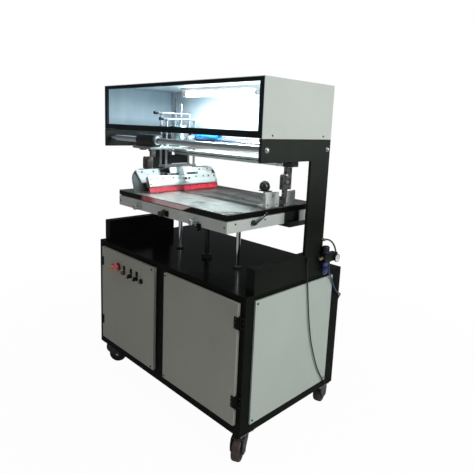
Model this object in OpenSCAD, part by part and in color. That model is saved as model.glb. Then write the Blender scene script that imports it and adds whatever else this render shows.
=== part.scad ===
// Flatbed screen printer: wheeled cabinet, lifting print table, overhead squeegee carriage in a lit hood.
// X runs to the operator's right, Y from the operator to the back, Z up from the floor.

/* [Cabinet] */
// Width of the cabinet frame
cab_w = 1150; // [1140:2:1156]
// Depth of the cabinet frame
cab_d = 677; // [670:1:684]
// Height of the deck above the floor
deck_z = 740; // [738:1:742]
// Side of the square frame tube
tube = 50; // [44:1:52]
// Depth of the two front corner posts
post_d = 67; // [52:1:67]
// Height of the casters with their top plates
caster_h = 125; // [124:1:126]

/* [Head frame] */
// Outer half width of the side frames and the hood
head_x = 582; // [579:1:583]
// Width of the lower limb of a side frame
side_t = 47; // [44:1:48]
// Thickness of the column and upper limb plate
limb_t = 14; // [12:1:16]
// Underside of the upper limb
limb_z0 = 1269; // [1264:1:1270]
// Top of the upper limb, where the hood starts
limb_z1 = 1361; // [1358:1:1364]
// Top of the hood
hood_z1 = 1592; // [1588:1:1600]

/* [Print table] */
// Width of the table
table_w = 809; // [780:1:812]
// Depth of the table
table_d = 584; // [560:1:590]
// Height of the printing surface at rest
table_z = 1056; // [1055.5:0.5:1056]
// Diameter of the two guide rods
rod_d = 22; // [18:1:24]

/* [Carriage] */
// Diameter of the carriage shafts
shaft_d = 30; // [24:1:32]
// Length of the squeegee
squeegee_l = 455; // [400:5:460]
// Lean of the squeegee from the vertical, in degrees
lean = 20; // [16:1:22]

/* [Casters] */
// Diameter of a caster wheel
wheel_d = 100; // [96:1:100]
// Trail of a swivel caster
trail = 35; // [30:1:36]

/* [Hidden] */
$fn = 64;
// shift that centres the whole object over the origin
ox = -17.95;
oy = 4.55;
// the cabinet stands this much behind the head frame's axis
cab_y = 5.5;
g = 0.1;
hx = cab_w/2;
hy = cab_d/2;
yb = hy + cab_y;
post_r = 90;
yc = -66;
tx0 = -343;
tx1 = tx0 + table_w;
ty0 = -348;
ty1 = ty0 + table_d;
sh_y = [-264, 138];
sh_z = 1318;
rod_x = [-165, 274];
rod_y = -80;
cyl_x = 54.5;
sq_x = -197;
fl_x = -245;
rods_y = [yc - 93, yc + 93];
caster_xy = [[530, -284], [-530, -290], [530, 286], [-530, 286]];
caster_a = [-62, 46, 105, 30];
knob_x = [-152, 50, 276];
knob_z = 996;
hinge_z = [630, 283];
estop_x = -352;
button_x = -298;
sel_x = [-232, -178];
panel_z = 616;
estop_z = 636;
key_x = -136;
lamp_p = [-412, 622];

module at0() { translate([ox, oy, 0]) children(); }
module cab() { translate([ox, oy + cab_y, 0]) children(); }
// box from its lowest to its highest corner
module bx(a, b) { translate(a) cube([b[0] - a[0], b[1] - a[1], b[2] - a[2]]); }
// cylinders along the axes, from a start point
module cz(p, d, h) { translate(p) cylinder(d = d, h = h); }
module cx(p, d, h) { translate(p) rotate([0, 90, 0]) cylinder(d = d, h = h); }
module cy(p, d, h) { translate(p) rotate([-90, 0, 0]) cylinder(d = d, h = h); }

// ---------- cabinet ----------
module tube_z(x, y, w, d) {
  difference() {
    bx([x, y, caster_h], [x + w, y + d, deck_z - 4]);
    bx([x + 3, y + 3, caster_h - 1], [x + w - 3, y + d - 3, deck_z]);
  }
}
module tube_x(y, z) {
  difference() {
    bx([-hx + tube + g, y, z], [hx - tube - g, y + tube, z + tube]);
    bx([-hx, y + 3, z + 3], [hx, y + tube - 3, z + tube - 3]);
  }
}
module tube_y(x, z) {
  difference() {
    bx([x, -hy + post_d + g, z], [x + tube, hy - post_r - g, z + tube]);
    bx([x + 3, -hy, z + 3], [x + tube - 3, hy, z + tube - 3]);
  }
}
module base_frame() {
  color("#16171a") cab() {
    for (x = [-hx, hx - tube]) {
      tube_z(x, -hy, tube, post_d);
      tube_z(x, hy - post_r, tube, post_r);
    }
    for (y = [-hy, hy - tube], z = [caster_h, deck_z - 4 - tube]) tube_x(y, z);
    for (x = [-hx, hx - tube], z = [caster_h, deck_z - 4 - tube]) tube_y(x, z);
    // centre posts between the rails
    for (y = [-hy, hy - tube]) difference() {
      bx([-36, y, caster_h + tube + g], [65, y + tube, deck_z - 4 - tube - g]);
      bx([-33, y + 3, caster_h], [62, y + tube - 3, deck_z]);
    }
  }
}
module deck_top() {
  color("#1b1d20") at0() difference() {
    bx([-hx, -hy + cab_y, deck_z - 4], [hx, yb, deck_z]);
    for (x = rod_x) cz([x, rod_y, deck_z - 10], 34, 20);
    cz([cyl_x, rod_y, deck_z - 10], 52, 20);
  }
}
module floor_pan() {
  color("#3a3c3f") cab() bx([-hx + tube + 0.5, -hy + tube + 0.5, 150], [hx - tube - 0.5, hy - tube - 0.5, 153]);
}
// folded cover sheet seen from outside, thickness along local z
module cover(w, h) {
  difference() {
    bx([0, 0, 0], [w, h, 8]);
    bx([1.5, 1.5, -1], [w - 1.5, h - 1.5, 6.5]);
  }
}
module cabinet_panels() {
  color("#c9cecb") cab() {
    translate([hx, -288, 170]) rotate([90, 0, 90]) cover(546, 547);
    translate([-hx, 258, 170]) rotate([90, 0, -90]) cover(546, 547);
    // back cover with louvre slots
    difference() {
      translate([535, hy, 170]) rotate([90, 0, 180]) cover(1070, 547);
      for (k = [0:7]) bx([-330, hy - 1, 560 + 14*k], [-130, hy + 12, 565 + 14*k]);
      cy([300, hy - 1, 260], 25.4, 20);
      cy([hose_low[0], hy - 1, hose_low[2]], 16, 20);
    }
  }
}
module screw_x(p, d, s) { translate(p) rotate([0, 90*s, 0]) { cylinder(d = d, h = 2.2); cylinder(d = d*0.62, h = 3.4); } }
module fasteners() {
  color("#b9bcbf") at0() {
    for (s = [-1, 1]) {
      // cover screws
      for (y = [-275, 245], z = [184, 703]) screw_x([s*(hx + 8), y + cab_y, z], 10, s);
      // hood screws
      for (y = [-236, 99]) screw_x([s*head_x, y, limb_z1 + 13], 8, s);
      // shaft bolts with washers
      for (y = sh_y) translate([s*head_x, y, sh_z]) rotate([0, 90*s, 0]) {
        cylinder(d = 24, h = 2);
        translate([0, 0, 2]) cylinder(d = 17, h = 8, $fn = 6);
      }
    }
    for (x = [-500, 0, 500], z = [184, 703]) translate([x, yb + 8, z]) rotate([-90, 0, 0]) cylinder(d = 10, h = 2.2);
  }
}
// hinge pins and the leaves fixed to the posts
module hinge_leaves() {
  color("#101113") cab() for (s = [-1, 1], z = hinge_z)
    translate([s < 0 ? -536 : 556, -346.5, z]) mirror([s < 0 ? 0 : 1, 0, 0]) {
      cz([0, 0, -30.3], 5, 60.6);
      for (zz = [-30, 12.3]) difference() {
        union() {
          cz([0, 0, zz], 10, 17.7);
          bx([-5, 0, zz], [-1, 8, zz + 17.7]);
        }
        cz([0, 0, zz - 1], 5, 20);
      }
      bx([-17, 5.5, -30], [-4.9, 8, 30]);
    }
}
// knuckle and leaf on a door, s = 1 where the door runs to +x
module knuckle(xp, s, z) {
  translate([xp, -346.5, z]) mirror([s < 0 ? 1 : 0, 0, 0]) difference() {
    union() {
      cz([0, 0, -12], 10, 24);
      bx([0, -10.5, -12], [4, 0, 12]);
      bx([0, -10.5, -25], [26, -7.4, 25]);
    }
    cz([0, 0, -13], 5.1, 26);
  }
}
module door(x0, x1) {
  difference() {
    bx([x0, -354, 175], [x1, -339, 710]);
    bx([x0 + 1.5, -352.5, 176.5], [x1 - 1.5, -338, 708.5]);
    cy([estop_x, -360, estop_z], 16.4, 12);
    for (x = [button_x, sel_x[0], sel_x[1]]) cy([x, -360, panel_z], 16.4, 12);
  }
  // stiffening rib
  bx([x0 + 40, -352.5, 176.5], [x0 + 70, -348, 708.5]);
}
module door_left() {
  color("#9a9992") cab() {
    door(-528, -26);
    for (z = hinge_z) knuckle(-536, 1, z);
    // coin locks at the free edge
    for (z = [187, 698]) cy([-47, -355.5, z], 9, 2);
  }
}
module door_right() {
  color("#9a9992") cab() {
    door(55, 547);
    for (z = hinge_z) knuckle(556, -1, z);
    for (z = [187, 698]) cy([64, -355.5, z], 9, 2);
  }
}
module bezel(x, z, d) { cy([x, -358, z], d, 4); }
module switch_bezels() {
  color("#1a1a1c") cab() {
    difference() {
      union() {
        bezel(estop_x, estop_z, 42);
        bezel(button_x, panel_z, 24);
        for (x = sel_x) bezel(x, panel_z, 24);
      }
      cy([estop_x, -359, estop_z], 16.2, 8);
      for (x = [button_x, sel_x[0], sel_x[1]]) cy([x, -359, panel_z], 16.2, 8);
    }
    // key lock without its key
    bezel(key_x, panel_z - 3, 28);
    cy([key_x, -368, panel_z - 3], 19, 10);
    // label plates above the operators
    for (x = [button_x, sel_x[0], sel_x[1]]) bx([x - 10, -355.2, panel_z + 13], [x + 12, -354, panel_z + 38]);
    // contact blocks behind the door
    for (q = [[estop_x, estop_z], [button_x, panel_z], [sel_x[0], panel_z], [sel_x[1], panel_z]]) difference() {
      union() {
        cy([q[0], -352.4, q[1]], 24, 8);
        bx([q[0] - 14, -345, q[1] - 20], [q[0] + 14, -316, q[1] + 20]);
      }
      cy([q[0], -353, q[1]], 16.4, 10);
    }
    // pilot lamp
    cy([lamp_p[0], -358, lamp_p[1]], 28, 4);
    translate([lamp_p[0], -370, lamp_p[1]]) rotate([-90, 0, 0]) cylinder(d1 = 20, d2 = 22, h = 12);
  }
}
module estop_button() {
  color("#c8171b") cab() {
    translate([estop_x, -382, estop_z]) rotate([-90, 0, 0]) rotate_extrude()
      polygon([[0, 0], [12, 0], [17, 2], [20, 6], [20, 11], [13, 14], [13, 17], [8, 17], [8, 27], [0, 27]]);
  }
}
module push_button() {
  color("#8a1216") cab() translate([button_x, -369.5, panel_z]) rotate([-90, 0, 0]) rotate_extrude()
    polygon([[0, 0], [9, 0], [10.5, 1.5], [10.5, 7], [8, 7], [8, 14.5], [0, 14.5]]);
}
module selector(x) {
  color("#121214") cab() {
    cy([x, -364, panel_z], 21, 5.5);
    cy([x, -359, panel_z], 16, 4);
    bx([x - 4, -378, panel_z - 11], [x + 4, -364, panel_z + 11]);
  }
}
module selector_knob_1() selector(sel_x[0]);
module selector_knob_2() selector(sel_x[1]);

// ---------- head frame ----------
// lower limb of folded channel on the deck, column and upper limb cut from one plate
module side_frame() {
  xi = head_x - side_t;
  difference() {
    bx([xi, -296, deck_z], [head_x, 160, 850]);
    bx([xi + 4, -292, deck_z - 1], [head_x - 4, 156, 846]);
  }
  bx([head_x - limb_t, 27, 846], [head_x, 160, limb_z1]);
  bx([head_x - limb_t, -295, limb_z0], [head_x, 28, limb_z1]);
}
module side_frame_right() { color("#1c1e21") at0() side_frame(); }
module side_frame_left() { color("#1c1e21") at0() mirror([1, 0, 0]) side_frame(); }
module hood_shell() {
  color("#c9cecb") at0() {
    for (s = [-1, 1]) mirror([s < 0 ? 1 : 0, 0, 0]) {
      bx([head_x - 2, -295, limb_z1], [head_x, 160, hood_z1]);
      // folded foot that the hood screws pass through
      bx([head_x - 24, -282, limb_z1], [head_x - 2, 156, limb_z1 + 2]);
    }
    bx([-head_x + 2 + g, -295, hood_z1 - 2], [head_x - 2 - g, 160, hood_z1]);
    bx([-head_x + 2 + g, 158, limb_z1], [head_x - 2 - g, 160, hood_z1 - 2 - g]);
  }
}
module hood_front_frame() {
  color("#141518") at0() {
    for (s = [-1, 1]) mirror([s < 0 ? 1 : 0, 0, 0])
      bx([head_x - 24, -295, limb_z1 + 2.1], [head_x - 2.1, -283, hood_z1 - 18]);
    bx([-head_x + 2.1, -295, hood_z1 - 17.9], [head_x - 2.1, -283, hood_z1 - 2.1]);
    // lower band with a folded top lip
    difference() {
      bx([-head_x + 24.1, -295, limb_z1 + 2.1], [head_x - 24.1, -279, 1390]);
      bx([-head_x, -292, 1340], [head_x, -270, 1387]);
    }
  }
}
module guide_shafts() {
  color("#d5d8da") at0() {
    for (y = sh_y) cx([-head_x + limb_t + 0.1, y, sh_z], shaft_d, 2*(head_x - limb_t - 0.1));
    // thin rail for the coiled hose
    cx([-head_x + limb_t + 0.1, 75, 1343], 6, 2*(head_x - limb_t - 0.1));
  }
}
module drive_cylinder() {
  xl = head_x - limb_t - g;
  color("#e4e6e4") at0() {
    difference() {
      union() {
        bx([-222, yc - 14, 1244], [515, yc + 14, 1272]);
        cx([-236, yc, 1258], 30, 14.5);
        cx([514.5, yc, 1258], 30, 10);
      }
      for (s = [-1, 1]) bx([-215, yc + s*14 - 1.5, 1255], [510, yc + s*14 + 1.5, 1261]);
      bx([-232, yc - 2, 1269.5], [512, yc + 2, 1280]);
    }
    cx([-560, yc, 1258], 10, 324.2);
    // brackets against the upper limbs
    bx([-xl + 7, yc - 13, 1246], [-533, yc + 13, 1270]);
    bx([-xl, yc - 13, 1246], [-xl + 7.1, yc + 13, 1310]);
    bx([515, yc - 15, 1243], [540, yc + 15, 1272]);
    bx([539, yc - 15, 1250], [xl - 6.9, yc + 15, 1258]);
    bx([xl - 7, yc - 15, 1250], [xl, yc + 15, 1310]);
  }
}
module work_light() {
  color("#f4f6f8") at0() {
    bx([-236, -44, 1572], [330, -8, hood_z1 - 2 - g]);
    for (x = [-234, 308]) bx([x, -41, 1543], [x + 20, -11, 1572.5]);
    cx([-215, -26, 1558], 26, 524);
  }
}
module coil_hose() { color("#2b86b8") at0() difference() { cx([-254, 75, 1343], 42, 214); cx([-255, 75, 1343], 26, 216); } }

// ---------- lift and services ----------
module lift_cylinder() {
  color("#2a2c2f") at0() difference() {
    union() {
      bx([cyl_x - 70, rod_y - 70, 153], [cyl_x + 70, rod_y + 70, 165]);
      cz([cyl_x, rod_y, 164], 84, 552);
      bx([cyl_x - 50, rod_y - 50, 700], [cyl_x + 50, rod_y + 50, 735.8]);
      cz([cyl_x, rod_y, 735], 50, 24);
    }
    cz([cyl_x, rod_y, 300], 25.1, 500);
  }
}
module rod_bushings() {
  color("#1a1b1d") at0() for (x = rod_x) difference() {
    union() {
      cz([x, rod_y, deck_z], 40, 8);
      cz([x, rod_y, 668], 33.6, 73);
      cz([x, rod_y, 668], 44, 8);
    }
    cz([x, rod_y, 660], rod_d + 0.1, 100);
  }
}
module control_box() {
  color("#8d9194") at0() {
    difference() {
      bx([-480, 110, 153], [-180, 270, 520]);
      bx([-478, 112, 155], [-182, 268, 518]);
      // lid opening closed by the cover in front
      bx([-470, 100, 165], [-190, 120, 510]);
    }
    bx([-480, 106, 153], [-180, 109.9, 520]);
    for (z = [190, 483]) for (x = [-466, -194]) cy([x, 103, z], 10, 3);
  }
}
module regulator_body() {
  color("#27305c") at0() {
    // bracket on the column's outer side
    bx([head_x + g, 118, 812], [586, 156, 842]);
    difference() {
      bx([585.9, 137, 806], [618, 236, 846]);
      cz([602, 158, 838], 16.2, 20);
    }
    // bowl
    translate([602, 158, 0]) rotate_extrude() polygon([[0, 746], [9, 746], [15, 755], [16, 800], [16, 806.5], [0, 806.5]]);
    // gauge
    cx([617.9, 222, 818], 38, 10);
    // inlet elbow and outlet stub
    cy([602, 112, 826], 14, 25.1);
    cz([604, 190, 800], 12, 6.1);
    // link hose from the column, over the regulator and back into its end
    cx([head_x + g, 152, 909], 14, 16);
    translate([594, 152, 799]) rotate([0, 90, 0]) rotate([0, 0, 104]) rotate_extrude(angle = 76, $fn = 96) translate([110, 0]) circle(d = 8, $fn = 24);
    cy([594, 235.9, 826], 14, 28);
  }
}
module regulator_knob() {
  color("#17181b") at0() translate([602, 158, 838.5]) rotate_extrude() polygon([[0, 0], [8, 0], [8, 8.5], [17, 8.5], [18, 12], [18, 38], [14, 42], [0, 42]]);
}
// supply gland on the back cover, open for the mains lead
module power_inlet() {
  color("#151618") cab() difference() {
    union() {
      cy([300, hy + 1, 260], 25, 8);
      cy([300, hy + 2.4, 260], 33, 4, $fn = 6);
      cy([300, hy + 8.1, 260], 33, 6, $fn = 6);
      cy([300, hy + 14, 260], 27, 6);
      translate([300, hy + 20, 260]) rotate([-90, 0, 0]) cylinder(d1 = 27, d2 = 18, h = 8);
    }
    cy([300, hy, 260], 9, 30);
  }
}
// elbow glands of the link cable on the column and on the lower rail, and the hose elbow on the back
gl_top = [590, 38, 838];
gl_low = [590, 252, 156];
hose_low = [470, 367.5, 360];
module cable_glands() {
  color("#18191b") at0() {
    cx([head_x, gl_top[1], gl_top[2]], 18, 4);
    cx([head_x + 3, gl_top[1], gl_top[2]], 13, 5);
    translate(gl_top) sphere(d = 13);
    cz([gl_top[0], gl_top[1], 822], 11, 16);
    cx([hx, gl_low[1], gl_low[2]], 18, 4);
    cx([hx + 3, gl_low[1], gl_low[2]], 12, 12);
    translate(gl_low) sphere(d = 12);
    translate(gl_low) rotate([35.3, 0, 0]) cylinder(d = 10, h = 24);
    cy([hose_low[0], yb + 2, hose_low[2]], 15.6, 8);
    cy([hose_low[0], yb + 8, hose_low[2]], 22, 5);
    cy([hose_low[0], yb + 12, hose_low[2]], 12, 11.5);
    translate(hose_low) sphere(d = 12);
    cx(hose_low, 12, 16);
  }
}
// smooth path through hand-picked points
function cr(p, i, t) = let (n = len(p) - 1, a = p[max(i - 1, 0)], b = p[i], c = p[min(i + 1, n)], d = p[min(i + 2, n)])
  0.5*((2*b) + (c - a)*t + (2*a - 5*b + 4*c - d)*t*t + (3*b - a - 3*c + d)*t*t*t);
function path(p, m) = [for (i = [0:len(p) - 2], k = [0:m - 1]) cr(p, i, k/m), p[len(p) - 1]];
function unit(v) = v/norm(v);
function tang(q, i) = unit(q[min(i + 1, len(q) - 1)] - q[max(i - 1, 0)]);
module swept(p, m, d, s) {
  q = path(p, m);
  n = len(q);
  r0 = [1, 0.2, 0];
  pts = [for (i = [0:n - 1]) let (t = tang(q, i), u = unit(cross(t, r0)), v = cross(t, u)) for (k = [0:s - 1]) q[i] + d/2*(cos(360*k/s)*u + sin(360*k/s)*v)];
  faces = concat([[for (k = [0:s - 1]) k]],
    [for (i = [0:n - 2], k = [0:s - 1]) [i*s + k, (i + 1)*s + k, (i + 1)*s + (k + 1)%s, i*s + (k + 1)%s]],
    [[for (k = [0:s - 1]) (n - 1)*s + s - 1 - k]]);
  polyhedron(pts, faces, convexity = 6);
}
cable_pts = [[590, 38, 821.7], [590, 39, 800], [590, 45, 760], [590, 52, 715], [590, 60, 665], [590, 69, 610], [590, 80, 550], [590, 95, 483], [590, 111, 425], [590, 133, 366], [590, 158, 308], [590, 190, 246], [590, 238.2, 175.6]];
hose_pts = [[604, 190, 799.9], [604, 190, 784], [603, 193, 766], [600, 202, 748], [596, 217, 730], [592, 236, 708], [590, 256, 680], [589, 276, 650], [588, 300, 626], [586, 326, 610], [580, 350, 598], [568, 364, 584], [556, 371, 562], [548, 374, 530], [543, 374, 490], [536, 373, 450], [526, 371, 412], [513, 369, 382], [502, 367.7, 364.5], [495, 367.5, 360.15], [486.3, 367.5, 360]];
module link_cable() { color("#1c1c1f") at0() swept(cable_pts, 3, 6, 8); }
module air_hose() { color("#3c74b8") at0() swept(hose_pts, 3, 8, 10); }

// ---------- print table ----------
module table_frame() {
  color("#cfd3d0") at0() {
    difference() {
      bx([tx0, ty0, 978], [tx1, ty1, 1027]);
      bx([tx0 + 3, ty0 + 3, 981], [tx1 - 22, ty1 - 3, 1024]);
      // recess in the right side
      bx([tx1 - 16, 12, 970], [tx1 + 1, 122, 1040]);
      for (x = knob_x) cy([x, ty0 - 1, knob_z], 10.1, 12);
    }
    // bracket under the right adjuster
    bx([294.5, ty0 - 14, 964], [310, ty0 + 0.1, 992]);
    // cross member under the right rear
    bx([396, 58, 953], [463, 178, 978.1]);
  }
}
module lift_rods() {
  color("#d9dcde") at0() {
    for (x = rod_x) {
      cz([x, rod_y, 600], rod_d, 378);
      difference() { cz([x, rod_y, 926], 30, 52); cz([x, rod_y, 900], rod_d, 100); }
      difference() { cz([x, rod_y, 918], 34, 8); cz([x, rod_y, 900], rod_d, 100); }
    }
    cz([cyl_x, rod_y, 430], 25, 548);
    cz([cyl_x, rod_y, 966], 60, 12);
  }
}
module bed_subplate() {
  color("#6f7375") at0() bx([tx0 + 16, ty0 + 14, 1027.4], [tx1 - 18, ty1 - 14, 1030.6]);
}
module bed_plate() {
  color("#202225") at0() difference() {
    bx([tx0, ty0, 1031], [tx1, ty1, table_z - 3]);
    bx([tx0 + 20, ty0 + 20, 1036], [tx1 - 60, ty1 - 20, table_z]);
  }
}
module bed_sheet() {
  color("#cdd6d0") at0() difference() {
    bx([tx0, ty0, table_z - 3], [tx1, ty1, table_z]);
    bx([tx0 + 6, ty0 + 6, table_z - 1], [tx0 + 7.2, ty1 - 6, table_z + 1]);
  }
}
module register_stops() {
  color("#cfd4d0") at0() {
    difference() {
      union() {
        bx([440, -102, table_z], [450, -14, 1127]);
        bx([400, -102, table_z], [440.1, -58, table_z + 9]);
        bx([400, -96, 1127], [450, -60, 1131]);
      }
      cz([420, -80, table_z + 2], 10.1, 100);
    }
    bx([452, 20, table_z], [462, 87, 1127]);
    bx([424, 40, table_z], [452.1, 77, table_z + 8]);
    cz([386, -50, table_z], 16, 14);
  }
}
module stop_knob() {
  color("#17181a") at0() translate([420, -80, 0]) rotate_extrude()
    polygon([[0, table_z + 2.5], [5, table_z + 2.5], [5, 1131.6], [12, 1131.6], [23, 1136], [24, 1146], [21, 1160], [12, 1171], [0, 1174]]);
}
module adjuster(x, kd, kl) {
  translate([x, ty0, knob_z]) rotate([90, 0, 0]) {
    translate([0, 0, -8]) cylinder(d = 10, h = 10);
    translate([0, 0, 0.5]) cylinder(d = 34, h = 6);
    translate([0, 0, 6.4]) cylinder(d = kd, h = kl);
    translate([0, 0, 6.4 + kl - 0.1]) cylinder(d1 = kd, d2 = kd - 6, h = 3);
  }
}
module adjust_knob_left() { color("#d7dadb") at0() adjuster(knob_x[0], 27, 28); }
module adjust_knob_mid() { color("#b99b5c") at0() adjuster(knob_x[1], 25, 24); }
module adjust_knob_right() { color("#d7dadb") at0() adjuster(knob_x[2], 27, 28); }
module bed_lock_lever() {
  color("#1d1f1f") at0() {
    cx([tx1 + 0.5, -196, 1008], 24, 13);
    cx([tx1 + 13, -196, 1008], 12, 9.5);
    translate([tx1 + 13, -196, 1008]) rotate([26, 0, 0]) {
      bx([0, -5, -6], [7, 70, 6]);
      translate([4.5, 74, 0]) sphere(d = 16);
    }
  }
}

// ---------- carriage ----------
module carriage_plate() {
  color("#aeb4b6") at0() difference() {
    union() {
      bx([-300, -296, 1275], [-140, 166, 1287]);
      // hanging guard plate, notched over the drive
      difference() {
        bx([-276, -170, 1190], [-272, 58, 1275.1]);
        bx([-277, -88, 1236], [-271, -44, 1275]);
      }
      bx([-226, yc - 12, 1273.4], [-194, yc + 12, 1275.1]);
    }
    for (x = [sq_x, fl_x], y = rods_y) cz([x, y, 1260], 13, 40);
  }
}
module carriage_bearings() {
  color("#1f2224") at0() for (y = sh_y) difference() {
    union() {
      cx([-278, y, sh_z], 60, 150);
      bx([-278, y - 24, 1287], [-140, y + 24, sh_z]);
    }
    cx([-330, y, sh_z], shaft_d + 0.1, 220);
  }
}
module head_cylinders() {
  color("#e2e6e8") at0() {
    for (x = [sq_x, fl_x]) {
      difference() {
        union() {
          cz([x, yc, 1287], 36, 108);
          bx([x - 20, yc - 20, 1287], [x + 20, yc + 20, 1299]);
          bx([x - 20, yc - 20, 1383], [x + 20, yc + 20, 1395]);
        }
        cz([x, yc, 1310], 10.1, 100);
      }
      for (y = rods_y) difference() {
        cz([x, y, 1287], 24, 30);
        cz([x, y, 1280], 12.1, 50);
      }
    }
    // valve block beside the cylinders
    bx([-176, yc + 26, 1287], [-154, yc + 60, 1345]);
  }
}
module yoke(x, zt, zk) {
  for (y = rods_y) {
    cz([x, y, 1186], 12, zt - 1186);
    cz([x, y, zt - 13], 18, 12);
  }
  bx([x - 6, rods_y[0] - 12, 1178], [x + 6, rods_y[1] + 12, 1190]);
  cy([x, rods_y[0] - 22, zt], 10, rods_y[1] - rods_y[0] + 36);
  // end knob of the upper bar
  cy([x, rods_y[0] - 46, zt], 17, 23.9);
  // piston rod below the bar, adjusting screw with nuts above it
  cz([x, yc, 1330], 10, zt - 1330);
  cz([x, yc, zt + 4], 7, zk - zt - 4);
  translate([x, yc, zt + 6.1]) cylinder(d = 15, h = 7, $fn = 6);
}
module leaned(x, z) { translate([x, 0, z]) rotate([0, -lean, 0]) children(); }
module squeegee_yoke() {
  color("#dfe3e3") at0() {
    yoke(sq_x, 1427, 1505);
    leaned(-152, 1056.4) {
      // drop plate and the dark clamp bar on the holder
      bx([-4, -140, 95.6], [4, 10, 129]);
      bx([-9, -170, 84.5], [9, 42, 95.5]);
      // centre clamp
      bx([4, -92, 84.5], [14, -40, 128]);
    }
  }
}
module squeegee_holder() {
  color("#dfe4e2") at0() leaned(-152, 1056.4) {
    difference() {
      translate([0, -289, 0]) rotate([90, 0, 0]) mirror([0, 0, 1]) linear_extrude(squeegee_l)
        polygon([[-10, 30], [-12, 40], [-12, 84], [11, 84], [11, 56], [13, 52], [13, 34], [10, 30]]);
      bx([-4.6, -300, 20], [4.6, 180, 62]);
      for (y = [-275, -200, -135, 72, 130, 155]) cx([8, y, 66], 7, 6);
    }
    // clamp wheel in front
    cx([11.1, -52, 60], 40, 14);
  }
}
module squeegee_blade() {
  color("#c9202c") at0() leaned(-152, 1056.4) translate([0, -289, 0]) rotate([90, 0, 0]) mirror([0, 0, 1]) linear_extrude(squeegee_l)
    polygon([[-4.5, 1.7], [4.5, 1.7], [4.5, 61], [-4.5, 61]]);
}
module flood_yoke() {
  color("#dfe3e3") at0() {
    yoke(fl_x, 1457, 1536);
    leaned(-202, 1060) bx([-4, -120, 118.2], [6, -12, 127]);
  }
}
// rounded plate outline, corner radius r at both upper corners
module plate2(y0, y1, z0, z1, r) {
  difference() {
    translate([y0, z0]) square([y1 - y0, z1 - z0]);
    translate([y0 - 1, z1 - r]) square([r + 1, r + 1]);
    translate([y1 - r, z1 - r]) square([r + 1, r + 1]);
  }
  translate([y0 + r, z1 - r]) circle(r, $fn = 96);
  translate([y1 - r, z1 - r]) circle(r, $fn = 96);
}
module flood_blade() {
  color("#d5dad8") at0() leaned(-202, 1060) {
    rotate([90, 0, 90]) linear_extrude(3) plate2(-349, 216, 0, 118, 59);
    rotate([90, 0, 90]) translate([0, 0, 3]) linear_extrude(10) polygon([[-300, 42], [-326, 112], [190, 112], [170, 42]]);
  }
}
// slide block on the upper limb, hanger post with its hand screws, and the jaw for the screen frame
module screen_clamp(dy) {
  difference() {
    union() {
      bx([514, -46, 1271], [head_x - limb_t - 0.4, 26.5, 1320]);
      bx([514, -46, 1239], [525, 14, 1290]);
      bx([494, -46, 1239], [525, 14, 1262]);
      bx([494, -46, 1205], [513, -12, 1239.1]);
      bx([494, -70 + dy, 1142], [513, -12 + dy, 1210]);
      bx([500, -60 + dy, 1112], [513, -38 + dy, 1142.1]);
      bx([490, -57 + dy, 1066], [509, -37 + dy, 1112.1]);
    }
    cy([499.5, -60 + dy, 1089], 10.1, 30);
  }
  for (z = [1178, 1202]) {
    cx([512.9, -52 + dy, z], 8, 6.2);
    cx([519, -52 + dy, z], 17, 6);
  }
}
module screen_clamp_right() { color("#9aa09c") at0() screen_clamp(0); }
module screen_clamp_left() { color("#9aa09c") at0() mirror([1, 0, 0]) screen_clamp(-22); }

// ---------- casters ----------
module caster_plates() {
  color("#8f9294") cab() for (p = caster_xy) {
    bx([p[0] - 43, p[1] - 43, 121], [p[0] + 43, p[1] + 43, caster_h]);
    difference() {
      cz([p[0], p[1], 108], 46, 13.1);
      cz([p[0], p[1], 100], 16.2, 22);
    }
  }
}
module fork(i) {
  translate([caster_xy[i][0], caster_xy[i][1], 0]) rotate([0, 0, caster_a[i]]) {
    cz([0, 0, 107], 16, 13.5);
    cz([0, 0, 102.5], 66, 5.2);
    for (s = [-1, 1]) translate([0, s*27.5 - 2, 0]) rotate([90, 0, 0]) mirror([0, 0, 1]) linear_extrude(4)
      polygon([[-30, 105], [50, 105], [trail + 28, 78], [trail + 24, 52], [trail + 14, 35], [trail - 6, 32], [trail - 24, 44], [-26, 78]]);
    bx([-30, -29, 101], [50, 29, 104.9]);
    // axle with nuts
    translate([trail, -34, 50]) rotate([-90, 0, 0]) cylinder(d = 10, h = 68);
    for (s = [-34, 29.5]) translate([trail, s, 50]) rotate([-90, 0, 0]) cylinder(d = 17, h = 4.5, $fn = 6);
  }
}
module wheel(i) {
  translate([caster_xy[i][0], caster_xy[i][1], 0]) rotate([0, 0, caster_a[i]]) translate([trail, 0, 50]) rotate([90, 0, 0])
    rotate_extrude($fn = 128) polygon([[5.05, -24], [16, -24], [16, -16], [33, -12], [35, -17], [43, -20], [47.5, -17], [wheel_d/2, -10], [wheel_d/2, 10], [47.5, 17], [43, 20], [35, 17], [33, 12], [16, 16], [16, 24], [5.05, 24]]);
}
module caster_fork_fr() { color("#2b2c2e") cab() fork(0); }
module caster_fork_fl() { color("#2b2c2e") cab() fork(1); }
module caster_fork_rr() { color("#2b2c2e") cab() fork(2); }
module caster_fork_rl() { color("#2b2c2e") cab() fork(3); }
module caster_wheel_fr() { color("#4a2b26") cab() wheel(0); }
module caster_wheel_fl() { color("#4a2b26") cab() wheel(1); }
module caster_wheel_rr() { color("#4a2b26") cab() wheel(2); }
module caster_wheel_rl() { color("#4a2b26") cab() wheel(3); }

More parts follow.
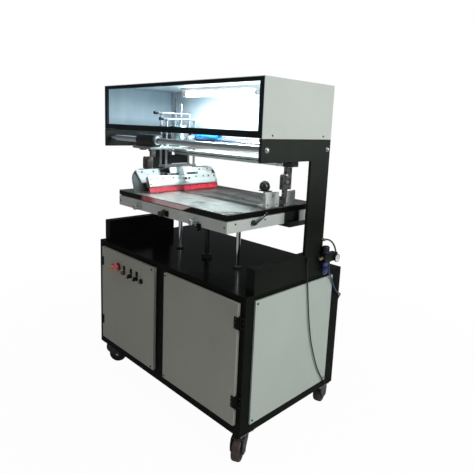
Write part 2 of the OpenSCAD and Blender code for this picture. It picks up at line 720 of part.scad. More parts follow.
base_frame();
deck_top();
floor_pan();
cabinet_panels();
fasteners();
side_frame_right();
side_frame_left();
hood_shell();
hood_front_frame();
guide_shafts();
drive_cylinder();
work_light();
coil_hose();
lift_cylinder();
rod_bushings();
control_box();
regulator_body();
regulator_knob();
hinge_leaves();
caster_plates();
power_inlet();
cable_glands();
link_cable();
air_hose();
door_left();
switch_bezels();
estop_button();
push_button();
selector_knob_1();
selector_knob_2();
door_right();
table_frame();
lift_rods();
bed_subplate();
bed_plate();
bed_sheet();
register_stops();
stop_knob();
adjust_knob_left();
adjust_knob_mid();
adjust_knob_right();
bed_lock_lever();
carriage_plate();
carriage_bearings();
head_cylinders();
squeegee_yoke();
squeegee_holder();
squeegee_blade();
flood_yoke();
flood_blade();
screen_clamp_right();
screen_clamp_left();
caster_fork_fr();
caster_fork_fl();
caster_fork_rr();
caster_fork_rl();
caster_wheel_fr();
caster_wheel_fl();
caster_wheel_rr();
caster_wheel_rl();
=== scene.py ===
import math
import random

import bmesh
import bpy
from mathutils import Euler, Matrix, Vector


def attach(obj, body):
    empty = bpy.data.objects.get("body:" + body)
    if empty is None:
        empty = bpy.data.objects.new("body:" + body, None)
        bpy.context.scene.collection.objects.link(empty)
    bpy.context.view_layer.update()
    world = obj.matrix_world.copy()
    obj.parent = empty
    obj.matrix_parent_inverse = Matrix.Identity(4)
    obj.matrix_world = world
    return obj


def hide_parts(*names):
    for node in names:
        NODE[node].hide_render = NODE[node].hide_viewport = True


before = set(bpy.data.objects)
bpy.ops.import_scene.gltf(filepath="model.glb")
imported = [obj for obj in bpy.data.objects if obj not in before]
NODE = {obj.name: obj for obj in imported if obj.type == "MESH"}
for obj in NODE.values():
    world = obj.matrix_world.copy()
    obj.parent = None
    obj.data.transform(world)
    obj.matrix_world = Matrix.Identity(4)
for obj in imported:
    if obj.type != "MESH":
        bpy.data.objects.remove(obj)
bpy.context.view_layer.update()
scene = bpy.context.scene
rng = random.Random(7)
OX, OY = -17.95, 4.55


def P(x, y, z):
    """Machine millimetres to metres in the part's frame."""
    return Vector(((x + OX) / 1000, (y + OY) / 1000, z / 1000))


# ------------------------------------------------------------------ camera
az, el, roll = math.radians(45.94), math.radians(9.92), math.radians(2.18)
back = Vector((math.sin(az) * math.cos(el), -math.cos(az) * math.cos(el), math.sin(el)))
right = Vector((math.cos(az), math.sin(az), 0))
up = back.cross(right)
cam_x = math.cos(roll) * right + math.sin(roll) * up
cam_y = -math.sin(roll) * right + math.cos(roll) * up
cam_data = bpy.data.cameras.new("camera")
cam = bpy.data.objects.new("camera", cam_data)
scene.collection.objects.link(cam)
m = Matrix((cam_x, cam_y, back)).transposed().to_4x4()
m.translation = P(1735.4, -1591.0, 1407.6)
cam.matrix_world = m
cam_data.sensor_width = 36
cam_data.lens = 34.77
cam_data.shift_x = 0.0253
cam_data.shift_y = -0.0675
cam_data.clip_start, cam_data.clip_end = 0.05, 60
scene.camera = cam


# ------------------------------------------------------------------ materials
def new_mat(name):
    mat = bpy.data.materials.new(name)
    mat.use_nodes = True
    nt = mat.node_tree
    nt.nodes.clear()
    out = nt.nodes.new("ShaderNodeOutputMaterial")
    b = nt.nodes.new("ShaderNodeBsdfPrincipled")
    nt.links.new(b.outputs[0], out.inputs[0])
    return mat, nt, b


def node(nt, kind, **values):
    n = nt.nodes.new("ShaderNode" + kind)
    for k, v in values.items():
        setattr(n, k, v)
    return n


def coords(nt, scale=(1, 1, 1), rot=(0, 0, 0)):
    tc = node(nt, "TexCoord")
    mp = node(nt, "Mapping")
    mp.inputs["Scale"].default_value = scale
    mp.inputs["Rotation"].default_value = rot
    nt.links.new(tc.outputs["Object"], mp.inputs["Vector"])
    return mp.outputs[0]


def noise(nt, vec, scale, detail=4, rough=0.55, distortion=0.0):
    n = node(nt, "TexNoise")
    n.inputs["Scale"].default_value = scale
    n.inputs["Detail"].default_value = detail
    n.inputs["Roughness"].default_value = rough
    n.inputs["Distortion"].default_value = distortion
    nt.links.new(vec, n.inputs["Vector"])
    return n.outputs["Fac"]


def remap(nt, fac, a, b, lo=0.0, hi=1.0):
    r = node(nt, "MapRange")
    r.inputs["From Min"].default_value = a
    r.inputs["From Max"].default_value = b
    r.inputs["To Min"].default_value = lo
    r.inputs["To Max"].default_value = hi
    nt.links.new(fac, r.inputs["Value"])
    return r.outputs[0]


def mix_col(nt, fac, a, b):
    n = node(nt, "Mix", data_type="RGBA")
    if isinstance(fac, (int, float)):
        n.inputs["Factor"].default_value = fac
    else:
        nt.links.new(fac, n.inputs["Factor"])
    for sock, v in ((n.inputs[6], a), (n.inputs[7], b)):
        if isinstance(v, tuple):
            sock.default_value = (*v, 1)
        else:
            nt.links.new(v, sock)
    return n.outputs[2]


def math_n(nt, op, a, b=None, clamp=False):
    n = node(nt, "Math", operation=op, use_clamp=clamp)
    for i, v in enumerate((a, b)):
        if v is None:
            continue
        if isinstance(v, (int, float)):
            n.inputs[i].default_value = v
        else:
            nt.links.new(v, n.inputs[i])
    return n.outputs[0]


def bumps(nt, bsdf, layers):
    """layers: (height socket, strength, distance in metres)"""
    prev = None
    for h, strength, dist in layers:
        bn = node(nt, "Bump")
        bn.inputs["Strength"].default_value = strength
        bn.inputs["Distance"].default_value = dist
        nt.links.new(h, bn.inputs["Height"])
        if prev is not None:
            nt.links.new(prev, bn.inputs["Normal"])
        prev = bn.outputs[0]
    if prev is not None:
        nt.links.new(prev, bsdf.inputs["Normal"])


def edge_mask(nt, radius, lo=0.02, hi=0.25):
    """1 on edges, 0 on flats; the edges it lightens stand for worn paint and a painted edge highlight."""
    bev = node(nt, "Bevel", samples=4)
    bev.inputs["Radius"].default_value = radius
    geo = node(nt, "NewGeometry")
    dot = node(nt, "VectorMath", operation="DOT_PRODUCT")
    nt.links.new(bev.outputs[0], dot.inputs[0])
    nt.links.new(geo.outputs["Normal"], dot.inputs[1])
    d = math_n(nt, "SUBTRACT", 1.0, dot.outputs["Value"], clamp=True)
    return remap(nt, d, lo, hi)


def surface(name, c1, c2, rough=(0.3, 0.5), metal=0.0, big=6.0, fine=420.0, fine_bump=0.08, stretch=None,
            streak=0.0, dust=0.0, dust_col=(0.3, 0.29, 0.27), edge=0.0, edge_col=(0.3, 0.3, 0.3), grime=0.0,
            coat=0.0, spec=0.5, edge_r=0.0012):
    mat, nt, b = new_mat(name)
    vec = coords(nt)
    n1 = noise(nt, vec, big, 5, 0.6)
    n2 = noise(nt, vec, big * 6, 4, 0.6)
    col = mix_col(nt, remap(nt, n1, 0.35, 0.65), c1, c2)
    r = remap(nt, n2, 0.3, 0.7, rough[0], rough[1])
    if stretch is not None:
        sv = coords(nt, stretch)
        s1 = noise(nt, sv, 1.0, 3, 0.5)
        if streak:
            dark = tuple(x * (1 - streak) for x in c1)
            col = mix_col(nt, remap(nt, s1, 0.4, 0.75, 0, 0.8), col, dark)
        r = math_n(nt, "ADD", r, remap(nt, s1, 0.3, 0.7, -0.05, 0.08))
    if grime:
        n3 = noise(nt, vec, big * 2.3, 8, 0.7, 0.4)
        g = remap(nt, n3, 0.52, 0.78, 0, grime)
        col = mix_col(nt, g, col, tuple(x * 0.45 for x in c1))
        r = math_n(nt, "ADD", r, math_n(nt, "MULTIPLY", g, 0.25))
    if dust:
        geo = node(nt, "NewGeometry")
        sep = node(nt, "SeparateXYZ")
        nt.links.new(geo.outputs["Normal"], sep.inputs[0])
        upf = remap(nt, sep.outputs[2], 0.25, 1.0)
        n4 = noise(nt, vec, 22, 6, 0.7)
        d = math_n(nt, "MULTIPLY", upf, remap(nt, n4, 0.35, 0.8, dust * 0.2, dust))
        col = mix_col(nt, d, col, dust_col)
        r = math_n(nt, "ADD", r, math_n(nt, "MULTIPLY", d, 0.4))
    if edge:
        # edges lightened: worn paint and a painted edge highlight
        em = math_n(nt, "MULTIPLY", edge_mask(nt, edge_r), remap(nt, n2, 0.38, 0.62, 0.15 * edge, edge))
        col = mix_col(nt, em, col, edge_col)
    nt.links.new(col, b.inputs["Base Color"])
    nt.links.new(math_n(nt, "ADD", r, 0.0, clamp=True), b.inputs["Roughness"])
    b.inputs["Metallic"].default_value = metal
    b.inputs["Specular IOR Level"].default_value = spec
    if coat:
        b.inputs["Coat Weight"].default_value = coat
        b.inputs["Coat Roughness"].default_value = 0.12
    layers = [(noise(nt, vec, fine, 2, 0.5), fine_bump, 0.0004)]
    if stretch is not None:
        layers.append((s1, 0.08, 0.0003))
    bumps(nt, b, layers)
    return mat


M = {}
M["black_paint"] = surface("black_paint", (0.0046, 0.0056, 0.0044), (0.0072, 0.0084, 0.0066), (0.36, 0.52), 0, 3, 520, 0.12,
                           dust=0.08, dust_col=(0.05, 0.05, 0.045), edge=0.4, edge_col=(0.03, 0.032, 0.028), grime=0.16, spec=0.04)
M["hood_trim"] = surface("hood_trim", (0.0085, 0.0145, 0.0175), (0.014, 0.022, 0.026), (0.36, 0.52), 0, 3, 520, 0.12, edge=0.5, edge_col=(0.09, 0.1, 0.105), grime=0.2, spec=0.12)
M["yoke_alu"] = surface("yoke_alu", (0.19, 0.21, 0.215), (0.30, 0.325, 0.33), (0.3, 0.5), 0.6, 24, 600, 0.08, grime=0.35)
M["bronze"] = surface("bronze", (0.05, 0.042, 0.026), (0.13, 0.11, 0.075), (0.3, 0.55), 0.6, 60, 700, 0.12, grime=0.5)
M["deck_gloss"] = surface("deck_gloss", (0.004, 0.005, 0.0043), (0.008, 0.0092, 0.008), (0.1, 0.2), 0, 4, 260, 0.02,
                          dust=0.03, dust_col=(0.03, 0.03, 0.026), grime=0.3, spec=0.04)
# The covers have the same paint as the outside of the hood, set darker here: painted shade for light that falls off
# downward.
M["pale_paint"] = surface("pale_paint", (0.44, 0.495, 0.45), (0.475, 0.53, 0.482), (0.36, 0.48), 0, 1.8, 620, 0.1,
                          dust=0.12, dust_col=(0.45, 0.44, 0.41), grime=0.1, edge=0.3, edge_col=(0.66, 0.68, 0.65))
M["door_paint"] = surface("door_paint", (0.345, 0.347, 0.302), (0.385, 0.38, 0.335), (0.36, 0.48), 0, 1.8, 620, 0.1,
                          dust=0.12, dust_col=(0.4, 0.39, 0.36), grime=0.14, edge=0.3, edge_col=(0.6, 0.6, 0.57))
M["apron_grey"] = surface("apron_grey", (0.52, 0.545, 0.52), (0.58, 0.6, 0.57), (0.35, 0.5), 0, 5, 500, 0.1,
                          dust=0.1, grime=0.2, edge=0.4, edge_col=(0.68, 0.69, 0.67))
M["zinc"] = surface("zinc", (0.42, 0.43, 0.44), (0.58, 0.58, 0.57), (0.28, 0.45), 1.0, 30, 900, 0.05, grime=0.35)
M["chrome"] = surface("chrome", (0.76, 0.80, 0.81), (0.84, 0.87, 0.88), (0.07, 0.16), 1.0, 14, 900, 0.02,
                      stretch=(900, 3, 3), grime=0.12)
M["steel"] = surface("steel", (0.56, 0.59, 0.585), (0.66, 0.68, 0.67), (0.22, 0.36), 1.0, 18, 900, 0.05,
                     stretch=(6, 6, 700), grime=0.22, edge=0.3, edge_col=(0.8, 0.8, 0.8))
M["white_alu"] = surface("white_alu", (0.52, 0.575, 0.54), (0.60, 0.65, 0.615), (0.26, 0.4), 0.35, 12, 900, 0.05,
                         stretch=(3, 500, 500), grime=0.14, edge=0.4, edge_col=(0.85, 0.86, 0.85))
M["dark_steel"] = surface("dark_steel", (0.028, 0.032, 0.034), (0.05, 0.055, 0.055), (0.25, 0.42), 0.5, 14, 600, 0.06,
                          grime=0.3, edge=0.5, edge_col=(0.22, 0.23, 0.23))
M["dark_plate"] = surface("dark_plate", (0.024, 0.031, 0.029), (0.05, 0.058, 0.054), (0.4, 0.6), 0.2, 16, 300, 0.1,
                          grime=0.5, edge=0.6, edge_col=(0.25, 0.27, 0.26))
M["black_plastic"] = surface("black_plastic", (0.006, 0.006, 0.0065), (0.012, 0.012, 0.0125), (0.3, 0.45), 0, 30, 800,
                             0.06, grime=0.2, edge=0.35, edge_col=(0.09, 0.09, 0.09), spec=0.16)
M["red_plastic"] = surface("red_plastic", (0.55, 0.018, 0.014), (0.63, 0.03, 0.02), (0.22, 0.34), 0, 30, 700, 0.03,
                           grime=0.15, coat=0.3)
M["dark_red"] = surface("dark_red", (0.11, 0.006, 0.016), (0.16, 0.01, 0.024), (0.22, 0.34), 0, 30, 700, 0.03, grime=0.2)
M["brass"] = surface("brass", (0.50, 0.41, 0.27), (0.60, 0.5, 0.33), (0.28, 0.45), 1.0, 30, 900, 0.05, grime=0.4)
M["cable_black"] = surface("cable_black", (0.008, 0.008, 0.009), (0.014, 0.014, 0.014), (0.42, 0.58), 0, 40, 900, 0.05,
                           grime=0.2)
M["blue_hose"] = surface("blue_hose", (0.015, 0.16, 0.42), (0.03, 0.24, 0.52), (0.16, 0.3), 0, 40, 900, 0.02,
                         grime=0.25, coat=0.3)
M["cyan_hose"] = surface("cyan_hose", (0.05, 0.32, 0.36), (0.08, 0.4, 0.42), (0.2, 0.32), 0, 40, 900, 0.02, grime=0.2)
M["clear_hose"] = surface("clear_hose", (0.03, 0.034, 0.04), (0.06, 0.066, 0.074), (0.14, 0.26), 0, 40, 900, 0.02, grime=0.3, coat=0.4)
M["navy_hose"] = surface("navy_hose", (0.006, 0.026, 0.085), (0.01, 0.04, 0.12), (0.18, 0.32), 0, 40, 900, 0.02, grime=0.3, coat=0.3)
M["navy_plastic"] = surface("navy_plastic", (0.004, 0.006, 0.02), (0.008, 0.011, 0.032), (0.25, 0.4), 0, 30, 800, 0.05, grime=0.2, edge=0.3, edge_col=(0.08, 0.09, 0.12))
M["estop_red"] = surface("estop_red", (0.78, 0.09, 0.12), (0.86, 0.14, 0.17), (0.25, 0.38), 0, 30, 700, 0.03, grime=0.2, coat=0.2)
M["grey_hose"] = surface("grey_hose", (0.06, 0.065, 0.075), (0.1, 0.1, 0.11), (0.3, 0.45), 0, 40, 900, 0.03, grime=0.3)
M["bowl_blue"] = surface("bowl_blue", (0.012, 0.018, 0.085), (0.02, 0.03, 0.12), (0.1, 0.2), 0, 30, 900, 0.02,
                         coat=0.6, grime=0.2)
M["gauge_white"] = surface("gauge_white", (0.72, 0.73, 0.72), (0.78, 0.78, 0.77), (0.3, 0.4), 0, 30, 900, 0.02)
M["lamp_amber"] = surface("lamp_amber", (0.75, 0.26, 0.02), (0.85, 0.36, 0.04), (0.15, 0.25), 0, 60, 900, 0.05, coat=0.5)
M["yellow"] = surface("yellow", (0.72, 0.48, 0.03), (0.78, 0.54, 0.05), (0.3, 0.42), 0, 40, 900, 0.03, grime=0.2)
M["white_mark"] = surface("white_mark", (0.75, 0.75, 0.74), (0.8, 0.8, 0.79), (0.4, 0.5), 0, 40, 900, 0.03)
M["clamp_grey"] = surface("clamp_grey", (0.045, 0.046, 0.042), (0.15, 0.148, 0.135), (0.35, 0.6), 0.4, 60, 260, 0.2,
                          grime=0.7, edge=0.6, edge_col=(0.5, 0.5, 0.48))
M["clamp_brown"] = surface("clamp_brown", (0.085, 0.07, 0.06), (0.17, 0.15, 0.135), (0.45, 0.7), 0.2, 30, 260, 0.2,
                           grime=0.7, edge=0.5, edge_col=(0.3, 0.28, 0.26))
M["cast_white"] = surface("cast_white", (0.66, 0.685, 0.66), (0.75, 0.77, 0.745), (0.35, 0.5), 0.1, 30, 500, 0.1,
                          grime=0.2, edge=0.3, edge_col=(0.8, 0.8, 0.79))
M["tyre"] = surface("tyre", (0.035, 0.02, 0.018), (0.07, 0.042, 0.038), (0.5, 0.75), 0, 40, 500, 0.2,
                    dust=0.3, dust_col=(0.14, 0.12, 0.11), grime=0.5)
M["caster_black"] = surface("caster_black", (0.022, 0.024, 0.022), (0.045, 0.047, 0.043), (0.35, 0.55), 0.2, 20, 500, 0.1,
                            dust=0.25, dust_col=(0.12, 0.115, 0.105), edge=0.6, edge_col=(0.2, 0.2, 0.19), grime=0.4)
M["tyre_side"] = surface("tyre_side", (0.07, 0.04, 0.036), (0.12, 0.075, 0.068), (0.45, 0.65), 0, 50, 500, 0.12, grime=0.5)


def red_blade():
    mat, nt, b = new_mat("red_rubber")
    vec = coords(nt)
    n = noise(nt, vec, 9, 5, 0.6)
    col = mix_col(nt, remap(nt, n, 0.35, 0.65), (0.38, 0.018, 0.034), (0.47, 0.04, 0.056))
    # ink film that thins towards the holder
    sep = node(nt, "SeparateXYZ")
    nt.links.new(vec, sep.inputs[0])
    low = remap(nt, sep.outputs[2], 1.0575, 1.082, 1, 0)
    film = math_n(nt, "MULTIPLY", low, remap(nt, noise(nt, vec, 34, 6, 0.7), 0.4, 0.7, 0, 0.3))
    col = mix_col(nt, film, col, (0.3, 0.012, 0.03))
    nt.links.new(col, b.inputs["Base Color"])
    nt.links.new(remap(nt, noise(nt, vec, 60, 3), 0.3, 0.7, 0.22, 0.38), b.inputs["Roughness"])
    b.inputs["Subsurface Weight"].default_value = 0.15
    b.inputs["Subsurface Radius"].default_value = (0.006, 0.001, 0.001)
    b.inputs["Coat Weight"].default_value = 0.2
    bumps(nt, b, [(noise(nt, vec, 300, 2), 0.05, 0.0003)])
    return mat


M["red_rubber"] = red_blade()


def bed_steel():
    """Ground steel sheet, darker over its far half, with fine grinding lines along X and rubbed patches."""
    mat, nt, b = new_mat("bed_steel")
    vec = coords(nt)
    lines = noise(nt, coords(nt, (2.2, 260, 10)), 1.0, 4, 0.6)
    cloud = noise(nt, vec, 5.5, 7, 0.62, 0.6)
    patch = noise(nt, vec, 17, 7, 0.7, 1.2)
    col = mix_col(nt, remap(nt, cloud, 0.36, 0.66), (0.31, 0.325, 0.29), (0.46, 0.47, 0.43))
    col = mix_col(nt, remap(nt, lines, 0.42, 0.7, 0, 0.45), col, (0.27, 0.31, 0.285))
    col = mix_col(nt, remap(nt, patch, 0.56, 0.72, 0, 0.42), col, (0.26, 0.30, 0.28))
    # brown-grey darkening over the far half
    sx = node(nt, "SeparateXYZ")
    nt.links.new(vec, sx.inputs[0])
    side = remap(nt, math_n(nt, "ADD", sx.outputs[1], math_n(nt, "MULTIPLY", sx.outputs[0], 0.12)), -0.16, -0.05, 0, 1)
    far_dark = math_n(nt, "MULTIPLY", side, remap(nt, noise(nt, coords(nt, (1.5, 9, 5)), 1.6, 6, 0.65, 0.7), 0.34, 0.6, 0.55, 1.0), clamp=True)
    col = mix_col(nt, far_dark, col, (0.06, 0.058, 0.05))
    speck = noise(nt, vec, 160, 3, 0.7)
    col = mix_col(nt, remap(nt, speck, 0.66, 0.74, 0, 0.5), col, (0.12, 0.13, 0.12))
    nt.links.new(col, b.inputs["Base Color"])
    r = remap(nt, cloud, 0.3, 0.7, 0.2, 0.42)
    r = math_n(nt, "ADD", r, remap(nt, patch, 0.5, 0.75, 0, 0.16))
    nt.links.new(r, b.inputs["Roughness"])
    b.inputs["Metallic"].default_value = 0.75
    bumps(nt, b, [(lines, 0.12, 0.0003), (patch, 0.05, 0.0004)])
    return mat


M["bed_steel"] = bed_steel()


def hood_mat():
    """Grey-green paint outside; inside painted bluish white as painted lamp light, darker at its left end and its foot
    as painted shade; inside and outside told apart by depth in the sheet.
    """
    mat, nt, b = new_mat("hood_paint")
    vec = coords(nt)
    sep = node(nt, "SeparateXYZ")
    nt.links.new(vec, sep.inputs[0])
    ax = math_n(nt, "ABSOLUTE", math_n(nt, "ADD", sep.outputs[0], -OX / 1000))
    in_x = math_n(nt, "LESS_THAN", ax, 0.5812)
    in_y = math_n(nt, "LESS_THAN", sep.outputs[1], (159.2 + OY) / 1000)
    in_z = math_n(nt, "LESS_THAN", sep.outputs[2], 1.5912)
    inside = math_n(nt, "MULTIPLY", math_n(nt, "MULTIPLY", in_x, in_y), in_z)
    n1 = noise(nt, vec, 1.8, 5, 0.6)
    outer = mix_col(nt, remap(nt, n1, 0.35, 0.65), (0.56, 0.59, 0.555), (0.60, 0.625, 0.59))
    smear = noise(nt, coords(nt, (3, 3, 0.8)), 3.0, 6, 0.65, 0.5)
    # inside: bluish white as painted lamp light, darker at the left end as painted shade
    left = mix_col(nt, remap(nt, smear, 0.4, 0.7), (0.42, 0.53, 0.59), (0.52, 0.62, 0.66))
    right = mix_col(nt, remap(nt, smear, 0.4, 0.7), (0.74, 0.86, 0.92), (0.82, 0.91, 0.94))
    inside_light_shade = mix_col(nt, remap(nt, sep.outputs[0], -0.54, -0.42), left, right)
    # painted shade: darker towards the foot of the inner walls
    foot_shade = remap(nt, sep.outputs[2], 1.37, 1.43, 0.75, 0)
    inside_light_shade = mix_col(nt, foot_shade, inside_light_shade, (0.16, 0.2, 0.22))
    col = mix_col(nt, inside, outer, inside_light_shade)
    nt.links.new(col, b.inputs["Base Color"])
    nt.links.new(remap(nt, noise(nt, vec, 12, 4), 0.3, 0.7, 0.34, 0.48), b.inputs["Roughness"])
    bumps(nt, b, [(noise(nt, vec, 620, 2), 0.1, 0.0004)])
    return mat


M["hood_paint"] = hood_mat()


def edge_reflection():
    """Pink band along the bed edge, deeper red towards the corner: a painted reflection of the red squeegee and its
    holder.
    """
    mat, nt, b = new_mat("edge_reflection")
    vec = coords(nt)
    sep = node(nt, "SeparateXYZ")
    nt.links.new(vec, sep.inputs[0])
    n1 = noise(nt, coords(nt, (6, 30, 60)), 2, 5, 0.6, 0.6)
    pos = math_n(nt, "ADD", sep.outputs[0], math_n(nt, "MULTIPLY", n1, 0.05))
    col = mix_col(nt, remap(nt, pos, REFLECTION_SPAN[0], REFLECTION_SPAN[1]), (0.60, 0.12, 0.16), (0.95, 0.68, 0.67))
    n2 = noise(nt, vec, 45, 4, 0.6)
    col = mix_col(nt, remap(nt, n2, 0.5, 0.7, 0, 0.35), col, (0.85, 0.5, 0.5))
    end = math_n(nt, "ADD", math_n(nt, "ADD", sep.outputs[0], math_n(nt, "MULTIPLY", sep.outputs[2], -2.6)), math_n(nt, "MULTIPLY", n1, 0.03))
    end = remap(nt, end, 0.235 - 2.6 * 1.055, 0.245 - 2.6 * 1.055)
    end = math_n(nt, "MAXIMUM", end, remap(nt, pos, -0.135, -0.115, 1, 0))
    col = mix_col(nt, end, col, (0.006, 0.007, 0.006))
    nt.links.new(col, b.inputs["Base Color"])
    nt.links.new(remap(nt, n2, 0.3, 0.7, 0.24, 0.36), b.inputs["Roughness"])
    b.inputs["Specular IOR Level"].default_value = 0.2
    bumps(nt, b, [(n1, 0.08, 0.0004)])
    return mat


def holder_inked():
    """White cast holder, darker over its middle."""
    mat, nt, b = new_mat("holder_inked")
    vec = coords(nt)
    sep = node(nt, "SeparateXYZ")
    nt.links.new(vec, sep.inputs[0])
    n1 = noise(nt, vec, 22, 5, 0.65, 0.5)
    pos = math_n(nt, "ADD", sep.outputs[1], math_n(nt, "MULTIPLY", n1, 0.05))
    middle_dark = math_n(nt, "MULTIPLY", remap(nt, pos, MID_DARK_SPAN[0], MID_DARK_SPAN[0] + 0.02), remap(nt, pos, MID_DARK_SPAN[1], MID_DARK_SPAN[1] + 0.03, 1, 0))
    white = mix_col(nt, remap(nt, n1, 0.35, 0.65), (0.62, 0.66, 0.63), (0.75, 0.77, 0.745))
    dark = mix_col(nt, remap(nt, noise(nt, vec, 60, 4, 0.6), 0.4, 0.65), (0.03, 0.032, 0.028), (0.12, 0.12, 0.108))
    col = mix_col(nt, middle_dark, white, dark)
    nt.links.new(col, b.inputs["Base Color"])
    nt.links.new(remap(nt, n1, 0.3, 0.7, 0.35, 0.5), b.inputs["Roughness"])
    bumps(nt, b, [(noise(nt, vec, 500, 2), 0.1, 0.0004)])
    return mat


# span of the darker middle of the holder
MID_DARK_SPAN = (-0.165, 0.045)
M["holder_inked"] = holder_inked()
# span of the painted reflection along the bed edge
REFLECTION_SPAN = (-0.05, -0.01)
M["edge_reflection"] = edge_reflection()


def frame_mat():
    """Black paint, lighter towards the top of the head frame: painted light."""
    mat, nt, b = new_mat("frame_paint")
    vec = coords(nt)
    sep = node(nt, "SeparateXYZ")
    nt.links.new(vec, sep.inputs[0])
    n1 = noise(nt, vec, 3, 5, 0.6)
    low = mix_col(nt, remap(nt, n1, 0.35, 0.65), (0.0062, 0.0076, 0.006), (0.0095, 0.0112, 0.009))
    top_lit = mix_col(nt, remap(nt, n1, 0.35, 0.65), (0.028, 0.031, 0.028), (0.036, 0.040, 0.036))
    # painted light: the paint turns lighter towards the top of the frame, where it is better lit
    col = mix_col(nt, remap(nt, sep.outputs[2], 1.0, 1.3), low, top_lit)
    # edges lightened: worn paint and a painted edge highlight
    em = math_n(nt, "MULTIPLY", edge_mask(nt, 0.0012), remap(nt, noise(nt, vec, 18, 4), 0.38, 0.62, 0.1, 0.4))
    col = mix_col(nt, em, col, (0.045, 0.049, 0.045))
    nt.links.new(col, b.inputs["Base Color"])
    nt.links.new(remap(nt, noise(nt, vec, 18, 4, 0.6), 0.3, 0.7, 0.34, 0.5), b.inputs["Roughness"])
    b.inputs["Specular IOR Level"].default_value = 0.08
    bumps(nt, b, [(noise(nt, vec, 520, 2), 0.12, 0.0004)])
    return mat


M["frame_paint"] = frame_mat()


def glow(name, col, strength):
    mat, nt, b = new_mat(name)
    vec = coords(nt)
    ends = noise(nt, vec, 30, 2)
    nt.links.new(mix_col(nt, remap(nt, ends, 0.4, 0.6), (0.9, 0.92, 0.95), (0.95, 0.96, 0.98)), b.inputs["Base Color"])
    b.inputs["Emission Color"].default_value = (*col, 1)
    b.inputs["Emission Strength"].default_value = strength
    b.inputs["Roughness"].default_value = 0.25
    return mat


M["tube_glow"] = glow("tube_glow", (0.86, 0.94, 1.0), 14.0)


def dome_mat():
    mat, nt, b = new_mat("dome_black")
    vec = coords(nt)
    n = noise(nt, vec, 40, 6, 0.7)
    nt.links.new(mix_col(nt, remap(nt, n, 0.45, 0.7), (0.012, 0.012, 0.013), (0.05, 0.045, 0.045)), b.inputs["Base Color"])
    nt.links.new(remap(nt, n, 0.3, 0.7, 0.12, 0.3), b.inputs["Roughness"])
    b.inputs["Coat Weight"].default_value = 0.5
    bumps(nt, b, [(noise(nt, vec, 180, 3), 0.08, 0.0004)])
    return mat


M["dome_black"] = dome_mat()


def knurl_mat():
    mat, nt, b = new_mat("knurled")
    vec = coords(nt)
    a = node(nt, "TexWave", wave_type="BANDS", bands_direction="DIAGONAL")
    a.inputs["Scale"].default_value = 220
    nt.links.new(coords(nt, (1, 1, 1)), a.inputs["Vector"])
    c = node(nt, "TexWave", wave_type="BANDS", bands_direction="DIAGONAL")
    c.inputs["Scale"].default_value = 220
    nt.links.new(coords(nt, (-1, 1, 1)), c.inputs["Vector"])
    h = math_n(nt, "ADD", a.outputs["Fac"], c.outputs["Fac"])
    n = noise(nt, vec, 40, 4)
    col = mix_col(nt, remap(nt, n, 0.35, 0.65), (0.58, 0.6, 0.6), (0.72, 0.73, 0.72))
    # painted shade: the knurl grooves are darkened
    col = mix_col(nt, remap(nt, h, 0.2, 1.2, 0.5, 0), col, (0.16, 0.16, 0.16))
    nt.links.new(col, b.inputs["Base Color"])
    nt.links.new(remap(nt, n, 0.3, 0.7, 0.22, 0.4), b.inputs["Roughness"])
    b.inputs["Metallic"].default_value = 1.0
    bumps(nt, b, [(h, 0.4, 0.0004)])
    return mat


M["knurled"] = knurl_mat()


# ------------------------------------------------------------------ helpers for nodes and pieces
def zones(name, base, rules=()):
    """Materials on a CAD node: base everywhere, then each (test(centre mm, normal), material) rule in turn."""
    o = NODE[name]
    o.data.materials.clear()
    mats = [base]
    o.data.materials.append(M[base])
    for _, mt in rules:
        if mt not in mats:
            mats.append(mt)
            o.data.materials.append(M[mt])
    for p in o.data.polygons:
        p.material_index = 0
        if rules:
            c = p.center
            mm = (c.x * 1000 - OX, c.y * 1000 - OY, c.z * 1000)
            for test, mt in rules:
                if test(mm, p.normal):
                    p.material_index = mats.index(mt)
    return o


def soften(name, width=0.0006, angle=28, segments=2):
    o = NODE[name]
    w = o.modifiers.new("weld", "WELD")
    w.merge_threshold = 0.00001
    b = o.modifiers.new("bevel", "BEVEL")
    b.width = width
    b.segments = segments
    b.limit_method = "ANGLE"
    b.angle_limit = math.radians(angle)
    b.use_clamp_overlap = True
    b.harden_normals = False
    return o


def add(name, bm, mat, body, smooth=None):
    me = bpy.data.meshes.new(name)
    bmesh.ops.recalc_face_normals(bm, faces=bm.faces)
    bm.to_mesh(me)
    bm.free()
    o = bpy.data.objects.new(name, me)
    scene.collection.objects.link(o)
    for mt in ([mat] if isinstance(mat, str) else mat):
        me.materials.append(M[mt])
    if smooth is not None:
        for p in me.polygons:
            p.use_smooth = True
        me.set_sharp_from_angle(angle=math.radians(smooth))
    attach(o, body)
    return o


def swap(objs, *names):
    for o in objs if isinstance(objs, list) else [objs]:
        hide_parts(*names)


def b_box(bm, a, b, bevel=0.0, seg=2, mi=0):
    """Box between two corners in machine mm, with rounded edges."""
    lo, hi = P(*a), P(*b)
    t = bmesh.new()
    bmesh.ops.create_cube(t, size=1.0)
    for v in t.verts:
        v.co = Vector([lo[i] + (v.co[i] + 0.5) * (hi[i] - lo[i]) for i in range(3)])
    if bevel:
        bmesh.ops.bevel(t, geom=t.edges[:], offset=bevel / 1000, segments=seg, affect="EDGES", profile=0.6)
    for f in t.faces:
        f.material_index = mi
    merge(bm, t)


def merge(bm, t, mat=None):
    if mat is not None:
        t.transform(mat)
    off = {}
    for v in t.verts:
        off[v] = bm.verts.new(v.co)
    for f in t.faces:
        try:
            nf = bm.faces.new([off[v] for v in f.verts])
            nf.material_index = f.material_index
            nf.smooth = f.smooth
        except ValueError:
            pass
    t.free()


def frame_of(axis, origin):
    z = Vector(axis).normalized()
    x = Vector((1, 0, 0)) if abs(z.x) < 0.9 else Vector((0, 1, 0))
    y = z.cross(x).normalized()
    x = y.cross(z)
    mt = Matrix((x, y, z)).transposed().to_4x4()
    mt.translation = origin
    return mt


